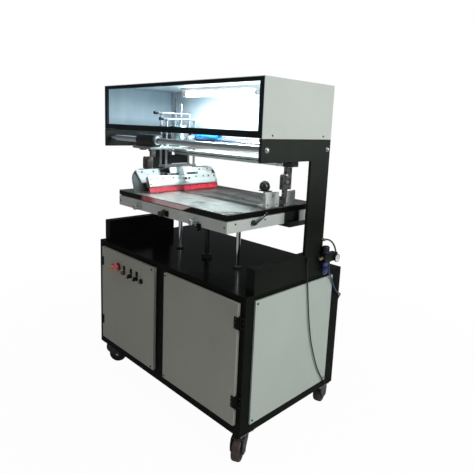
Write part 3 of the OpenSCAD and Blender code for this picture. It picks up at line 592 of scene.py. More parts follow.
def lathe(bm, origin, axis, prof, seg=48, lobes=0, lobe_depth=0.0, lobe_from=None, mi=None):
    """Revolve (radius mm, height mm) points about an axis through origin (machine mm).
    Lobes cut knurl grooves into the points listed in lobe_from."""
    t = bmesh.new()
    rings = []
    for i, (r, h) in enumerate(prof):
        ring = []
        if r < 1e-6:
            ring = [t.verts.new((0, 0, h / 1000))]
        else:
            for k in range(seg):
                a = 2 * math.pi * k / seg
                rr = r
                if lobes and lobe_from and i in lobe_from:
                    rr -= lobe_depth * (0.5 + 0.5 * math.cos(lobes * a))
                ring.append(t.verts.new((rr / 1000 * math.cos(a), rr / 1000 * math.sin(a), h / 1000)))
        rings.append(ring)
    for i in range(len(rings) - 1):
        a, b = rings[i], rings[i + 1]
        for k in range(seg):
            j = (k + 1) % seg
            if len(a) == 1 and len(b) == 1:
                continue
            if len(a) == 1:
                f = t.faces.new((a[0], b[k], b[j]))
            elif len(b) == 1:
                f = t.faces.new((a[k], a[j], b[0]))
            else:
                f = t.faces.new((a[k], a[j], b[j], b[k]))
            if mi:
                f.material_index = mi[i]
    merge(bm, t, frame_of(axis, P(*origin)))


def tube_path(bm, pts, dia, sides=10, closed_ends=True, mi=0):
    """Round tube through points in metres."""
    t = bmesh.new()
    n = len(pts)
    prev = None
    rings = []
    for i, p in enumerate(pts):
        tan = (pts[min(i + 1, n - 1)] - pts[max(i - 1, 0)]).normalized()
        if prev is None:
            u = tan.orthogonal().normalized()
        else:
            u = (prev - tan * prev.dot(tan)).normalized()
        prev = u
        w = tan.cross(u)
        rings.append([t.verts.new(p + dia / 2000 * (math.cos(2 * math.pi * k / sides) * u + math.sin(2 * math.pi * k / sides) * w)) for k in range(sides)])
    for a, b in zip(rings, rings[1:]):
        for k in range(sides):
            f = t.faces.new((a[k], a[(k + 1) % sides], b[(k + 1) % sides], b[k]))
            f.material_index = mi
            f.smooth = True
    if closed_ends:
        for ring in (rings[0], rings[-1]):
            f = t.faces.new(ring)
            f.material_index = mi
    merge(bm, t)


def smooth_path(pts, m=4):
    """Catmull-Rom through machine-mm points, returned in metres."""
    q = [Vector(p) for p in pts]
    out = []
    for i in range(len(q) - 1):
        a, b, c, d = q[max(i - 1, 0)], q[i], q[i + 1], q[min(i + 2, len(q) - 1)]
        for k in range(m):
            t = k / m
            out.append(0.5 * (2 * b + (c - a) * t + (2 * a - 5 * b + 4 * c - d) * t * t + (3 * b - a - 3 * c + d) * t ** 3))
    out.append(q[-1])
    return [P(*v) for v in out]


def hex_prof(bm, origin, axis, flat, h, chamfer=0.6):
    t = bmesh.new()
    r = flat / math.sqrt(3) / 1000
    low = [t.verts.new((r * math.cos(math.pi / 3 * k), r * math.sin(math.pi / 3 * k), 0)) for k in range(6)]
    top = [t.verts.new((v.co.x, v.co.y, (h - chamfer) / 1000)) for v in low]
    cap = [t.verts.new((v.co.x * (1 - chamfer / flat * 1.6), v.co.y * (1 - chamfer / flat * 1.6), h / 1000)) for v in low]
    for a, b in ((low, top), (top, cap)):
        for k in range(6):
            t.faces.new((a[k], a[(k + 1) % 6], b[(k + 1) % 6], b[k]))
    t.faces.new(cap)
    t.faces.new(low[::-1])
    merge(bm, t, frame_of(axis, P(*origin)))


def socket_screw(bm, origin, axis, d=8, h=4, mi=0):
    """Cap screw with a round socket."""
    lathe(bm, origin, axis, [(d / 2, 0), (d / 2, h - 0.5), (d / 2 - 0.5, h), (d * 0.3, h), (d * 0.27, h - 0.4), (d * 0.26, h * 0.45), (0, h * 0.4)], 18,
          mi=[mi] * 6)


def pan_screw(bm, origin, axis, d=10, h=3):
    """Domed screw with a round recess."""
    lathe(bm, origin, axis, [(d / 2, 0), (d / 2, 0.5), (d * 0.46, h * 0.55), (d * 0.33, h * 0.85), (d * 0.14, h), (d * 0.12, h * 0.6), (0, h * 0.5)], 20)


# ------------------------------------------------------------------ cords
CABLE = [(590, 38, 821.7), (590, 39, 800), (590, 45, 760), (590, 52, 715), (590, 60, 665), (590, 69, 610), (590, 80, 550),
         (590, 95, 483), (590, 111, 425), (590, 133, 366), (590, 158, 308), (590, 190, 246), (590, 238.2, 175.6)]
HOSE = [(604, 190, 799.9), (604, 190, 784), (603, 193, 766), (600, 202, 748), (596, 217, 730), (592, 236, 708),
        (590, 256, 680), (589, 276, 650), (588, 300, 626), (586, 326, 610), (580, 350, 598), (568, 364, 584),
        (556, 371, 562), (548, 374, 530), (543, 374, 490), (536, 373, 450), (526, 371, 412), (513, 369, 382),
        (502, 367.7, 364.5), (495, 367.5, 360.15), (486.3, 367.5, 360)]


def cord_curve(name, route, dia, mat, cad):
    pts = smooth_path(route, 2)
    cu = bpy.data.curves.new(name, "CURVE")
    cu.dimensions = "3D"
    cu.bevel_depth = dia / 2000
    cu.bevel_resolution = 4
    cu.use_fill_caps = True
    cu.resolution_u = 6
    sp = cu.splines.new("BEZIER")
    sp.bezier_points.add(len(pts) - 1)
    n = len(pts)
    for i, p in enumerate(pts):
        t = (pts[min(i + 1, n - 1)] - pts[max(i - 1, 0)]) / (6 if 0 < i < n - 1 else 3)
        bp = sp.bezier_points[i]
        bp.co = p
        bp.handle_left_type = bp.handle_right_type = "FREE"
        bp.handle_left = p - t
        bp.handle_right = p + t
    cu.materials.append(M[mat])
    o = bpy.data.objects.new(name, cu)
    scene.collection.objects.link(o)
    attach(o, "machine")
    swap(o, cad)
    return o


cord_curve("link_cable_sheath", CABLE, 6, "cable_black", "link_cable")
cord_curve("air_hose_tube", HOSE, 8, "navy_hose", "air_hose")

# ------------------------------------------------------------------ CAD nodes: materials
zones("base_frame", "black_paint")
zones("deck_top", "deck_gloss")
zones("floor_pan", "black_paint")
zones("cabinet_panels", "pale_paint")
zones("side_frame_right", "frame_paint")
zones("side_frame_left", "frame_paint")
zones("hood_shell", "hood_paint")
zones("hood_front_frame", "hood_trim")
zones("guide_shafts", "chrome")
zones("drive_cylinder", "white_alu", [(lambda c, n: c[0] < -238, "chrome"), (lambda c, n: c[0] < -531 or c[0] > 526, "dark_steel")])
zones("lift_cylinder", "dark_steel")
zones("rod_bushings", "dark_steel")
zones("control_box", "pale_paint")
zones("regulator_body", "dark_steel", [
    (lambda c, n: c[2] < 805.9 and c[1] < 176, "bowl_blue"),
    (lambda c, n: c[0] > 618.2, "gauge_white"),
    (lambda c, n: c[1] < 136.9 and c[0] > 593, "brass"),
    (lambda c, n: c[1] > 236.2 and c[2] < 834, "brass"),
    (lambda c, n: c[2] > 826 and c[1] > 159 and c[0] < 599, "grey_hose")])
zones("regulator_knob", "black_plastic")
zones("hinge_leaves", "black_paint")
zones("caster_plates", "zinc")
zones("power_inlet", "black_plastic")
zones("cable_glands", "black_plastic")
zones("door_left", "door_paint", [(lambda c, n: (c[1] < -348.8 and c[0] < -500) or c[0] < -528.2, "black_paint"), (lambda c, n: c[1] < -348.8 and c[0] > -60, "black_paint")])
zones("door_right", "door_paint", [(lambda c, n: (c[1] < -348.8 and c[0] > 500) or c[0] > 547.2, "black_paint"), (lambda c, n: c[1] < -348.8 and c[0] < 100, "black_paint")])
zones("switch_bezels", "black_plastic", [(lambda c, n: c[0] < -396 and c[1] < -352.7, "lamp_amber"), (lambda c, n: -374 < c[0] < -330 and c[1] < -348.7, "dark_red")])
zones("estop_button", "red_plastic")
zones("push_button", "dark_red")
zones("selector_knob_1", "black_plastic")
zones("selector_knob_2", "black_plastic")
# The apron's recess on the right, 11 < y < 123, is painted dark: painted shade.
zones("table_frame", "apron_grey", [(lambda c, n: 11 < c[1] < 123 and c[0] > 449 and c[2] < 1026.5, "dark_plate"),
                                    (lambda c, n: 294 < c[0] < 311 and c[1] < -348.1, "black_paint"),
                                    (lambda c, n: c[2] < 977.9 and c[0] > 395 and c[1] > 50, "dark_plate")])
zones("lift_rods", "chrome", [(lambda c, n: 917 < c[2] < 927, "dark_steel"), (lambda c, n: c[2] > 965.5 and 20 < c[0] < 90, "dark_steel")])
zones("bed_subplate", "dark_steel")
# the front face of the bed plate carries the painted reflection of the squeegee
zones("bed_plate", "black_paint", [(lambda c, n: n[1] < -0.9 and c[1] < -300, "edge_reflection")])
zones("bed_sheet", "bed_steel")
zones("register_stops", "cast_white", [(lambda c, n: c[2] > 1127.5, "dark_steel"), (lambda c, n: c[0] < 396, "steel")])
zones("stop_knob", "dome_black", [(lambda c, n: c[2] < 1131, "steel")])
zones("adjust_knob_left", "steel")
zones("adjust_knob_mid", "bronze")
zones("adjust_knob_right", "steel")
zones("bed_lock_lever", "black_plastic")
zones("carriage_plate", "steel", [(lambda c, n: c[2] < 1274 and c[0] < -270, "dark_plate")])
zones("carriage_bearings", "dark_steel")
zones("head_cylinders", "white_alu")
zones("squeegee_yoke", "cast_white", [(lambda c, n: c[1] < -181 and c[2] > 1400, "black_plastic"), (lambda c, n: c[2] > 1433, "steel"),
                                      (lambda c, n: c[2] < 1150 and n.x * 0.94 + n.z * 0.34 < 2, "dark_steel")])
zones("squeegee_holder", "white_alu")
zones("squeegee_blade", "red_rubber")
zones("flood_yoke", "cast_white", [(lambda c, n: c[1] < -181 and c[2] > 1400, "black_plastic"), (lambda c, n: c[2] > 1463, "steel")])
zones("flood_blade", "dark_plate", [(lambda c, n: False, "cast_white")])
zones("screen_clamp_right", "clamp_grey", [(lambda c, n: c[2] > 1239.2, "cast_white"), (lambda c, n: c[2] < 1210 and c[0] > 513.2, "steel"), (lambda c, n: c[2] < 1112, "dark_plate")])
zones("screen_clamp_left", "clamp_brown", [(lambda c, n: c[2] < 1210 and c[0] < -513.2, "steel"), (lambda c, n: c[2] < 1112, "dark_plate")])
for k in ("fr", "fl", "rr", "rl"):
    zones("caster_fork_" + k, "caster_black")
    zones("caster_wheel_" + k, "tyre")
zones("fasteners", "zinc")
zones("coil_hose", "blue_hose")
zones("work_light", "white_mark")
zones("link_cable", "cable_black")
zones("air_hose", "blue_hose")
for nm in ("base_frame", "side_frame_right", "side_frame_left", "hood_front_frame", "door_left", "door_right",
           "cabinet_panels", "table_frame", "bed_plate", "bed_sheet", "register_stops", "carriage_plate",
           "squeegee_holder", "hood_shell", "switch_bezels"):
    soften(nm, 0.0009 if nm in ("base_frame", "side_frame_right", "side_frame_left") else 0.0005)

# ------------------------------------------------------------------ lamp in the hood
bm = bmesh.new()
b_box(bm, (-236, -44, 1578), (330, -8, 1589.8), 2.0, 3)
b_box(bm, (-236, -38, 1571), (330, -14, 1579), 2.5, 3)
for x in (-234, 308):
    b_box(bm, (x, -40, 1544), (x + 20, -12, 1573), 3.5, 3)
for x in (-190, -60, 70, 200, 290):
    pan_screw(bm, (x, -26, 1571), (0, 0, -1), 7, 2)
lamp = add("lamp_housing", bm, "white_mark", "machine", 35)
swap(lamp, "work_light")
bm = bmesh.new()
lathe(bm, (-214, -26, 1558), (1, 0, 0), [(0, 0), (11, 0), (13, 1.5), (13, 520.5), (11, 522), (0, 522)], 32)
add("lamp_tube", bm, "tube_glow", "machine", 35)
bm = bmesh.new()
for x, ax in ((-214.5, 1), (308.5, -1)):
    lathe(bm, (x, -26, 1558), (ax, 0, 0), [(0, 0), (13.2, 0), (13.6, 1), (13.6, 14), (13.1, 15), (12.9, 15)], 32)
add("lamp_caps", bm, "steel", "machine", 35)
bm = bmesh.new()
tube_path(bm, smooth_path([(96, -26, 1571.5), (97, -30, 1562), (96, -36, 1550), (99, -38, 1538), (97, -36, 1528)], 5), 2.6, 8)
lathe(bm, (97, -36, 1529), (0, 0, -1), [(0, 0), (2.4, 0.5), (3.4, 4), (3.6, 9), (2.8, 12), (0, 12.5)], 16)
add("lamp_pull", bm, "grey_hose", "machine", 35)

# ------------------------------------------------------------------ coiled hose on its rail
bm = bmesh.new()
pts = []
turns, x0, x1 = 27, -250.0, -44.0
for i in range(turns * 16 + 1):
    a = 2 * math.pi * i / 16
    x = x0 + (x1 - x0) * i / (turns * 16)
    rad = 17.6 + 0.3 * math.sin(i * 0.13)
    pts.append(P(x, 75 + rad * math.cos(a), 1343 + rad * math.sin(a)))
tube_path(bm, pts, 6.4, 8)
coil = add("hose_coil", bm, "blue_hose", "machine", 60)
swap(coil, "coil_hose")

# ------------------------------------------------------------------ fasteners
bm = bmesh.new()
for s in (-1, 1):
    for y in (-269.5, 250.5):
        for z in (184, 703):
            pan_screw(bm, (s * 583, y, z), (s, 0, 0), 10, 3.2)
    for y in (-236, 99):
        pan_screw(bm, (s * 582, y, 1374), (s, 0, 0), 8, 3)
for x in (-500, 0, 500):
    for z in (184, 703):
        pan_screw(bm, (x, 352, z), (0, 1, 0), 10, 2.2)
fast = add("cover_screws", bm, "dark_steel", "machine", 32)
bm = bmesh.new()
for s in (-1, 1):
    for y in (-264, 138):
        lathe(bm, (s * 582, y, 1318), (s, 0, 0), [(12, 0), (12, 1.6), (11.5, 2), (8.4, 2), (8.4, 5.4), (7.8, 7.4), (5.6, 9.2), (2.6, 9.9), (0, 10)], 32)
fast2 = add("shaft_bolts", bm, "steel", "machine", 32)
swap([fast, fast2], "fasteners")

# ------------------------------------------------------------------ casters
CASTER = {"fr": ((530, -278.5), -62), "fl": ((-530, -284.5), 46), "rr": ((530, 291.5), 105), "rl": ((-530, 291.5), 30)}


def prism(bm, pts, thick, mat, bevel=0.0, mi=0):
    """Flat outline (mm, local xy) pushed along local z, placed with mat (local mm to metres)."""
    t = bmesh.new()
    lo = [t.verts.new((x, y, 0)) for x, y in pts]
    hi = [t.verts.new((x, y, thick)) for x, y in pts]
    n = len(pts)
    t.faces.new(lo[::-1])
    t.faces.new(hi)
    for k in range(n):
        t.faces.new((lo[k], lo[(k + 1) % n], hi[(k + 1) % n], hi[k]))
    bmesh.ops.recalc_face_normals(t, faces=t.faces)
    if bevel:
        bmesh.ops.bevel(t, geom=t.edges[:], offset=bevel, segments=2, affect="EDGES", profile=0.6)
    for f in t.faces:
        f.material_index = mi
    merge(bm, t, mat)


def rounded(pts, r, steps=5):
    """Outline with its corners rounded by radius r."""
    out = []
    n = len(pts)
    for i in range(n):
        a, b, c = Vector(pts[i - 1]), Vector(pts[i]), Vector(pts[(i + 1) % n])
        u, v = (a - b), (c - b)
        d = min(r, u.length * 0.45, v.length * 0.45)
        p, q = b + u.normalized() * d, b + v.normalized() * d
        for k in range(steps + 1):
            t = k / steps
            out.append(tuple((1 - t) ** 2 * p + 2 * t * (1 - t) * b + t * t * q))
    return out


def to_m(loc=(0, 0, 0), cols=((1, 0, 0), (0, 1, 0), (0, 0, 1))):
    """Matrix from local mm, with its axes given as columns at loc (machine mm), to metres in the part's frame."""
    r = Matrix(cols).transposed().to_4x4()
    r.translation = Vector(loc)
    s = Matrix.Diagonal((0.001, 0.001, 0.001, 1))
    s.translation = Vector((OX / 1000, OY / 1000, 0))
    return s @ r


for key, (xy, deg) in CASTER.items():
    a = math.radians(deg)
    ux, uy = Vector((math.cos(a), math.sin(a), 0)), Vector((-math.sin(a), math.cos(a), 0))
    at = Vector((xy[0], xy[1], 0))
    ax = at + ux * 35 + Vector((0, 0, 50))
    # wheel: crowned tyre, grooved shoulders, moulded centre with ribs
    bm = bmesh.new()
    prof = [(35.4, -14), (36.4, -16.8), (42.4, -19.2), (43.6, -18.5), (44.8, -18.9), (47.4, -16.8), (49.2, -12.8), (49.9, -7.5), (50, 0),
            (49.9, 7.5), (49.2, 12.8), (47.4, 16.8), (44.8, 18.9), (43.6, 18.5), (42.4, 19.2), (36.4, 16.8), (35.4, 14)]
    lathe(bm, tuple(ax), uy, prof, 96)
    tyre = add("tyre_" + key, bm, "tyre", "wheel_" + key, 30)
    bm = bmesh.new()
    lathe(bm, tuple(ax), uy, [(5.2, -23.8), (9, -23.8), (9.4, -23), (14.5, -23), (15.8, -22), (15.8, -9.5), (32.6, -8.5), (34.2, -15.6), (36.0, -16.2), (36.0, 16.2),
                              (34.2, 15.6), (32.6, 8.5), (15.8, 9.5), (15.8, 22), (14.5, 23), (9.4, 23), (9, 23.8), (5.2, 23.8), (5.2, -23.8)], 64)
    for k in range(6):
        b_ = math.radians(60 * k + 12)
        rx = ux * math.cos(b_) + Vector((0, 0, 1)) * math.sin(b_)
        ry = uy
        prism(bm, [(15, -14.6), (33.6, -11.6), (33.6, 11.6), (15, 14.6)], 3.2,
              to_m(ax - rx.cross(ry) * 1.6, (rx, ry, rx.cross(ry))), 0.4)
    hub = add("wheel_centre_" + key, bm, "tyre_side", "wheel_" + key, 30)
    swap([tyre, hub], "caster_wheel_" + key)
    # fork: two pressed cheeks, crown, race ring, axle bolt
    bm = bmesh.new()
    side = rounded([(-30, 104.8), (50, 104.8), (63, 78), (59, 52), (49, 35), (29, 32), (11, 44), (-26, 78)], 9)
    for s in (-1, 1):
        prism(bm, side, 4.0, to_m(at + uy * (s * 27.5 + 2), (ux, Vector((0, 0, 1)), ux.cross(Vector((0, 0, 1))))), 1.0)
        # pressed bead around the axle
        lathe(bm, tuple(ax + uy * (s * 29.4)), uy * s, [(8.6, -0.5), (13.5, -0.5), (13, 0.5), (11.5, 1.0), (9.4, 0.9), (8.6, 0.2)], 40)
    prism(bm, rounded([(-30, -28.8), (50, -28.8), (50, 28.8), (-30, 28.8)], 9), 3.8, to_m(at + Vector((0, 0, 101.1)), (ux, uy, (0, 0, 1))), 1.0)
    lathe(bm, (at.x, at.y, 102.6), (0, 0, 1), [(0, 0), (31, 0), (33, 1.0), (33, 3.2), (31, 5), (0, 5)], 48)
    f1 = add("fork_cheeks_" + key, bm, "caster_black", "swivel_" + key, 30)
    bm = bmesh.new()
    lathe(bm, tuple(at + Vector((0, 0, 107))), (0, 0, 1), [(8, 0), (8, 13.4), (0, 13.4)], 24)
    lathe(bm, tuple(ax - uy * 33.9), uy, [(0, 0), (4.2, 0), (5, 0.8), (5, 67), (4.2, 67.8), (0, 67.8)], 24)
    for s in (-1, 1):
        hex_prof(bm, tuple(ax + uy * (s * 29.6)), uy * s, 14.7, 4.2, 0.7)
    f2 = add("axle_" + key, bm, "zinc", "swivel_" + key, 30)
    swap([f1, f2], "caster_fork_" + key)
# mounting plates with their bolts
bm = bmesh.new()
for (x, y), _ in CASTER.values():
    prism(bm, rounded([(-43, -43), (43, -43), (43, 43), (-43, 43)], 7), 3.6, to_m((x, y, 121.1)), 0.5)
    lathe(bm, (x, y, 108.2), (0, 0, 1), [(8.2, 0), (21, 0), (23, 1.6), (23, 11), (21, 13), (8.2, 13)], 48)
    for sx in (-1, 1):
        for sy in (-1, 1):
            hex_prof(bm, (x + sx * 34, y + sy * 34, 121.2), (0, 0, -1), 13, 6, 0.8)
swap(add("caster_tops", bm, "zinc", "machine", 30), "caster_plates")

# ------------------------------------------------------------------ operator panel
PZ = 616
PUSH, SEL = (-298, 616), ((-232, 616), (-178, 616))
FACE = ((1, 0, 0), (0, 0, 1), (0, -1, 0))
bm = bmesh.new()
for x, z, d, hole in ((-298, 616, 24, 8.3), (-232, 616, 24, 8.3), (-178, 616, 24, 8.3), (-136, 613, 28, 0), (-412, 622, 28, 0)):
    r_ = d / 2
    lathe(bm, (x, -348.6, z), (0, -1, 0), [(hole, 0), (r_, 0), (r_, 2.0), (r_ - 0.7, 3.3), (r_ - 2.0, 3.9), (hole, 3.9)], 48)
for x, z in ((-352, 636), (-298, 616), (-232, 616), (-178, 616)):
    b_box(bm, (x - 14, -339.5, z - 20), (x - 8.4, -310.5, z + 20), 1)
    b_box(bm, (x + 8.4, -339.5, z - 20), (x + 14, -310.5, z + 20), 1)
    b_box(bm, (x - 14, -328.5, z - 20), (x + 14, -310.5, z - 10), 1)
    b_box(bm, (x - 14, -328.5, z + 10), (x + 14, -310.5, z + 20), 1)
    b_box(bm, (x - 12, -314.5, z - 12), (x + 12, -310.5, z + 12), 1)
    lathe(bm, (x, -346.8, z), (0, 1, 0), [(8.5, 0), (12, 0), (12, 7.4), (8.5, 7.4)], 32)
# key lock with its slot
lathe(bm, (-136, -352.4, 613), (0, -1, 0), [(0, 0), (9.4, 0), (9.4, 8.4), (8.6, 9.6), (6.4, 10), (6.2, 9.2), (0, 9.1)], 40)
p1 = add("panel_bezels", bm, "black_plastic", "left_door", 32)
bm = bmesh.new()
for x in (-298, -232, -178):
    prism(bm, rounded([(x - 9.8, 629.2), (x + 11.8, 629.2), (x + 11.8, 653.8), (x - 9.8, 653.8)], 1.2), 1.1, to_m((0, -348.55, 0), FACE), 0.25)
p5 = add("label_plates", bm, "black_paint", "left_door", 32)
bm = bmesh.new()
lathe(bm, (-352, -348.6, 636), (0, -1, 0), [(8.3, 0), (21, 0), (21, 2.0), (20.2, 3.3), (18.8, 3.9), (8.3, 3.9)], 48)
p7 = add("estop_bezel", bm, "dark_red", "left_door", 32)
bm = bmesh.new()
prism(bm, [(-136.7, 609.6), (-135.3, 609.6), (-135.3, 616.4), (-136.7, 616.4)], 0.5, to_m((0, -361.6, 0), FACE), 0.1)
lathe(bm, (-136, -361.4, 613), (0, -1, 0), [(5.2, 0), (5.2, 0.6), (5.9, 0.6), (5.9, 0)], 32)
p6 = add("key_slot", bm, "steel", "left_door", 32)
bm = bmesh.new()
lathe(bm, (-412, -352.5, 622), (0, -1, 0), [(0, 0), (11, 0), (11, 1.6), (10.4, 2.4), (10.1, 9), (9.2, 11), (6, 11.9), (0, 11.9)], 32, 24, 0.35, (3, 4))
p2 = add("pilot_lens", bm, "lamp_amber", "left_door", 40)
swap([p1, p2, p5, p6, p7], "switch_bezels")
bm = bmesh.new()
lathe(bm, (-352, -376.4, 636), (0, 1, 0), [(0, 0), (8, 0.2), (12, 0.6), (15.5, 1.8), (18, 3.4), (19.4, 5.2), (20, 7.4), (20, 10.4), (19, 11.6), (13, 13.6), (13, 16.8), (8, 16.8), (8, 26.8), (0, 26.8)], 48)
swap(add("estop_mushroom", bm, "estop_red", "estop", 40), "estop_button")
bm = bmesh.new()
lathe(bm, (PUSH[0], -363.9, PUSH[1]), (0, 1, 0), [(0, 0.9), (6, 0.8), (8.4, 0.1), (9.4, 0.2), (10.4, 1.5), (10.4, 6.9), (8, 6.9), (8, 14.4), (0, 14.4)], 40)
swap(add("push_cap", bm, "dark_red", "start_button", 40), "push_button")
for (x, z), bd, nodename in ((SEL[0], "selector_a", "selector_knob_1"), (SEL[1], "selector_b", "selector_knob_2")):
    bm = bmesh.new()
    lathe(bm, (x, -353.0, z), (0, -1, 0), [(8, 0.1), (10.4, 0.2), (10.4, 4), (9.6, 5.2), (0, 5.4)], 40)
    lathe(bm, (x, -353.4, z), (0, 1, 0), [(8, 0), (8, 3.9), (0, 3.9)], 32)
    prism(bm, rounded([(-3.4, -11), (3.4, -11), (4, 0), (3.4, 11), (-3.4, 11), (-4, 0)], 3), 13.9, to_m((x, -358.5, z), FACE), 0.8)
    prism(bm, [(-0.8, 2), (0.8, 2), (0.8, 10), (-0.8, 10)], 0.2, to_m((x, -372.25, z), FACE), 0, 1)
    swap(add("selector_grip_" + bd[-1], bm, ["black_plastic", "white_mark"], bd, 35), nodename)

# ------------------------------------------------------------------ hinges
bm = bmesh.new()
for s, px in ((-1, -536), (1, 556)):
    for z in (630, 283):
        for zz in (z - 30, z + 12.3):
            lathe(bm, (px, -341, zz), (0, 0, 1), [(2.6, 0), (4.4, 0), (5, 0.6), (5, 17.1), (4.4, 17.7), (2.6, 17.7)], 32)
            xs = sorted((px + s * 1, px + s * 5))
            b_box(bm, (xs[0], -340, zz + 0.3), (xs[1], -333.1, zz + 17.4), 0.6)
        lathe(bm, (px, -341, z - 30.3), (0, 0, 1), [(0, 0), (2, 0), (2.5, 0.5), (2.5, 60.1), (2, 60.6), (0, 60.6)], 24)
        xa, xb = sorted((px + s * 5, px + s * 17))
        prism(bm, rounded([(xa, z - 30), (xb, z - 30), (xb, z + 30), (xa, z + 30)], 2.0), 2.4, to_m((0, -333.1, 0), FACE), 0.3)
hinge = add("hinge_fixed_leaves", bm, "black_paint", "machine", 35)
bm = bmesh.new()
for s, px in ((-1, -536), (1, 556)):
    for z in (630, 283):
        for dz in (-20, 0, 20):
            pan_screw(bm, (px + s * 11, -335.5, z + dz), (0, -1, 0), 7, 1.6)
hsc = add("hinge_screws", bm, "dark_steel", "machine", 35)
swap([hinge, hsc], "hinge_leaves")
for body, x in (("left_door", -518), ("right_door", 538)):
    bm = bmesh.new()
    for z in (630, 283):
        for dz in (-17, 0, 17):
            pan_screw(bm, (x, -351.5, z + dz), (0, -1, 0), 7, 1.6)
    add("leaf_screws_" + body, bm, "dark_steel", body, 35)
# discs of the coin locks
for body, x in (("left_door", -47), ("right_door", 64)):
    bm = bmesh.new()
    for z in (187, 698):
        lathe(bm, (x, -350, z), (0, -1, 0), [(4.5, -0.6), (4.5, 0.1), (3.9, 0.5), (2.6, 0.5), (2.4, 0.1), (0, 0.05)], 24)
    add("lock_discs_" + body, bm, "black_paint", body, 35)

# ------------------------------------------------------------------ print table fittings
XA = (1, 0, 0)
for x, body, mt, kd, kl, nm in ((-152, "adjuster_left", "knurled", 27, 28, "adjust_knob_left"), (50, "adjuster_mid", "bronze", 25, 24, "adjust_knob_mid"),
                                (276, "adjuster_right", "knurled", 27, 28, "adjust_knob_right")):
    y0 = -348
    bm = bmesh.new()
    lathe(bm, (x, y0 + 8, 996), (0, -1, 0), [(0, 0), (5, 0), (5, 8.6)], 24)
    lathe(bm, (x, y0 - 0.5, 996), (0, -1, 0), [(5, 0), (16.4, 0), (17, 0.8), (17, 4.6), (16, 6), (10, 6.2)], 48)
    h0 = 6.4
    lathe(bm, (x, y0, 996), (0, -1, 0),
          [(kd / 2 - 4, h0), (kd / 2 - 1, h0), (kd / 2, h0 + 1), (kd / 2, h0 + 3), (kd / 2 - 1.2, h0 + 4), (kd / 2 - 1.2, h0 + 6), (kd / 2, h0 + 7), (kd / 2, h0 + kl - 2),
           (kd / 2 - 1.5, h0 + kl), (kd / 2 - 3.4, h0 + kl + 1.6), (kd / 2 - 6, h0 + kl + 1.9), (0, h0 + kl + 1.9)], 72, 36, 0.7, (6, 7))
    kn = add("adjuster_grip_" + body[9:], bm, mt, body, 30)
    swap(kn, nm)
bm = bmesh.new()
socket_screw(bm, (302.2, -362, 972), (0, -1, 0), 8, 4)
socket_screw(bm, (302.2, -362, 985), (0, -1, 0), 8, 4)
socket_screw(bm, (-330, -348, 1002), (0, -1, 0), 7, 3)
socket_screw(bm, (452, -348, 1002), (0, -1, 0), 7, 3)
for y in (-300, -120, 180):
    socket_screw(bm, (466, y, 1013), (1, 0, 0), 7, 3)
add("apron_screws", bm, "dark_steel", "table", 30)
bm = bmesh.new()
b_box(bm, (68.2, -357, 984), (84, -348.1, 1010), 1.2)
add("adjuster_blocks", bm, "black_paint", "table", 30)
# register stops: two upright plates with their feet, strap and screws
bm = bmesh.new()
prism(bm, rounded([(-102, 1056), (-14, 1056), (-14, 1120), (-21, 1127), (-95, 1127), (-102, 1120)], 2), 10, to_m((440, 0, 0), ((0, 1, 0), (0, 0, 1), (1, 0, 0))), 0.7)
b_box(bm, (400, -102, 1056), (440.1, -58, 1065), 1.0)
prism(bm, rounded([(20, 1056), (87, 1056), (87, 1121), (81, 1127), (26, 1127), (20, 1121)], 2), 10, to_m((452, 0, 0), ((0, 1, 0), (0, 0, 1), (1, 0, 0))), 0.7)
b_box(bm, (424, 40, 1056), (452.1, 77, 1064), 1.0)
s1 = add("stop_plates", bm, "cast_white", "bed", 30)
bm = bmesh.new()
b_box(bm, (400, -96, 1127), (450, -60, 1131), 0.8)
s2 = add("stop_strap", bm, "dark_steel", "bed", 30)
bm = bmesh.new()
for y, z, x in ((-90, 1070, 450), (-28, 1070, 450), (-58, 1108, 450), (32, 1070, 462), (76, 1070, 462)):
    socket_screw(bm, (x, y, z), (1, 0, 0), 9, 3)
for p in ((408, -68, 1065), (432, 48, 1064), (432, 69, 1064)):
    socket_screw(bm, p, (0, 0, 1), 8, 4.5)
lathe(bm, (386, -50, 1056), (0, 0, 1), [(0, 0), (8, 0), (8, 12.8), (7, 14), (3, 14), (2.8, 12), (0, 12)], 40, 20, 0.5, (1, 2))
s3 = add("stop_screws", bm, "steel", "bed", 30)
swap([s1, s2, s3], "register_stops")
bm = bmesh.new()
lathe(bm, (420, -80, 1058.6), (0, 0, 1), [(0, 0), (4.4, 0), (5, 0.6), (5, 73)], 32)
d1 = add("stop_spindle", bm, "steel", "stop_knob", 30)
bm = bmesh.new()
lathe(bm, (420, -80, 0), (0, 0, 1), [(0, 1131.7), (11, 1131.7), (12, 1132.4), (19, 1134), (22.6, 1137), (23.8, 1141), (24, 1146), (23.2, 1152), (21, 1159), (17, 1166),
                                    (11, 1171.2), (5, 1173.6), (0, 1174)], 48)
d2 = add("stop_dome", bm, "dome_black", "stop_knob", 50)
swap([d1, d2], "stop_knob")
# lock lever
bm = bmesh.new()
lathe(bm, (466.6, -196, 1008), (1, 0, 0), [(0, 0), (12, 0), (12, 11), (10.6, 12.8), (6, 13), (6, 21.6), (5, 22.4), (0, 22.4)], 40)
la = math.radians(26)
ly, lz = Vector((0, math.cos(la), math.sin(la))), Vector((0, -math.sin(la), math.cos(la)))
lo_ = Vector((479, -196, 1008))
prism(bm, rounded([(-5, -6), (30, -5), (66, -3.4), (69, 0), (66, 3.4), (30, 5), (-5, 6)], 2.5), 6.6, to_m(lo_ + Vector((0.2, 0, 0)), (ly, lz, (1, 0, 0))), 0.8)
lever = add("lever_arm", bm, "dark_steel", "lock_lever", 35)
bm = bmesh.new()
lathe(bm, tuple(lo_ + Vector((4.5, 0, 0)) + ly * 66.2), ly, [(0, 0), (3, 0.1), (5.4, 2), (7.2, 4.8), (7.9, 7.6), (7.4, 11), (5.2, 14), (2.4, 15.4), (0, 15.7)], 40)
ball = add("lever_ball", bm, "black_plastic", "lock_lever", 60)
swap([lever, ball], "bed_lock_lever")
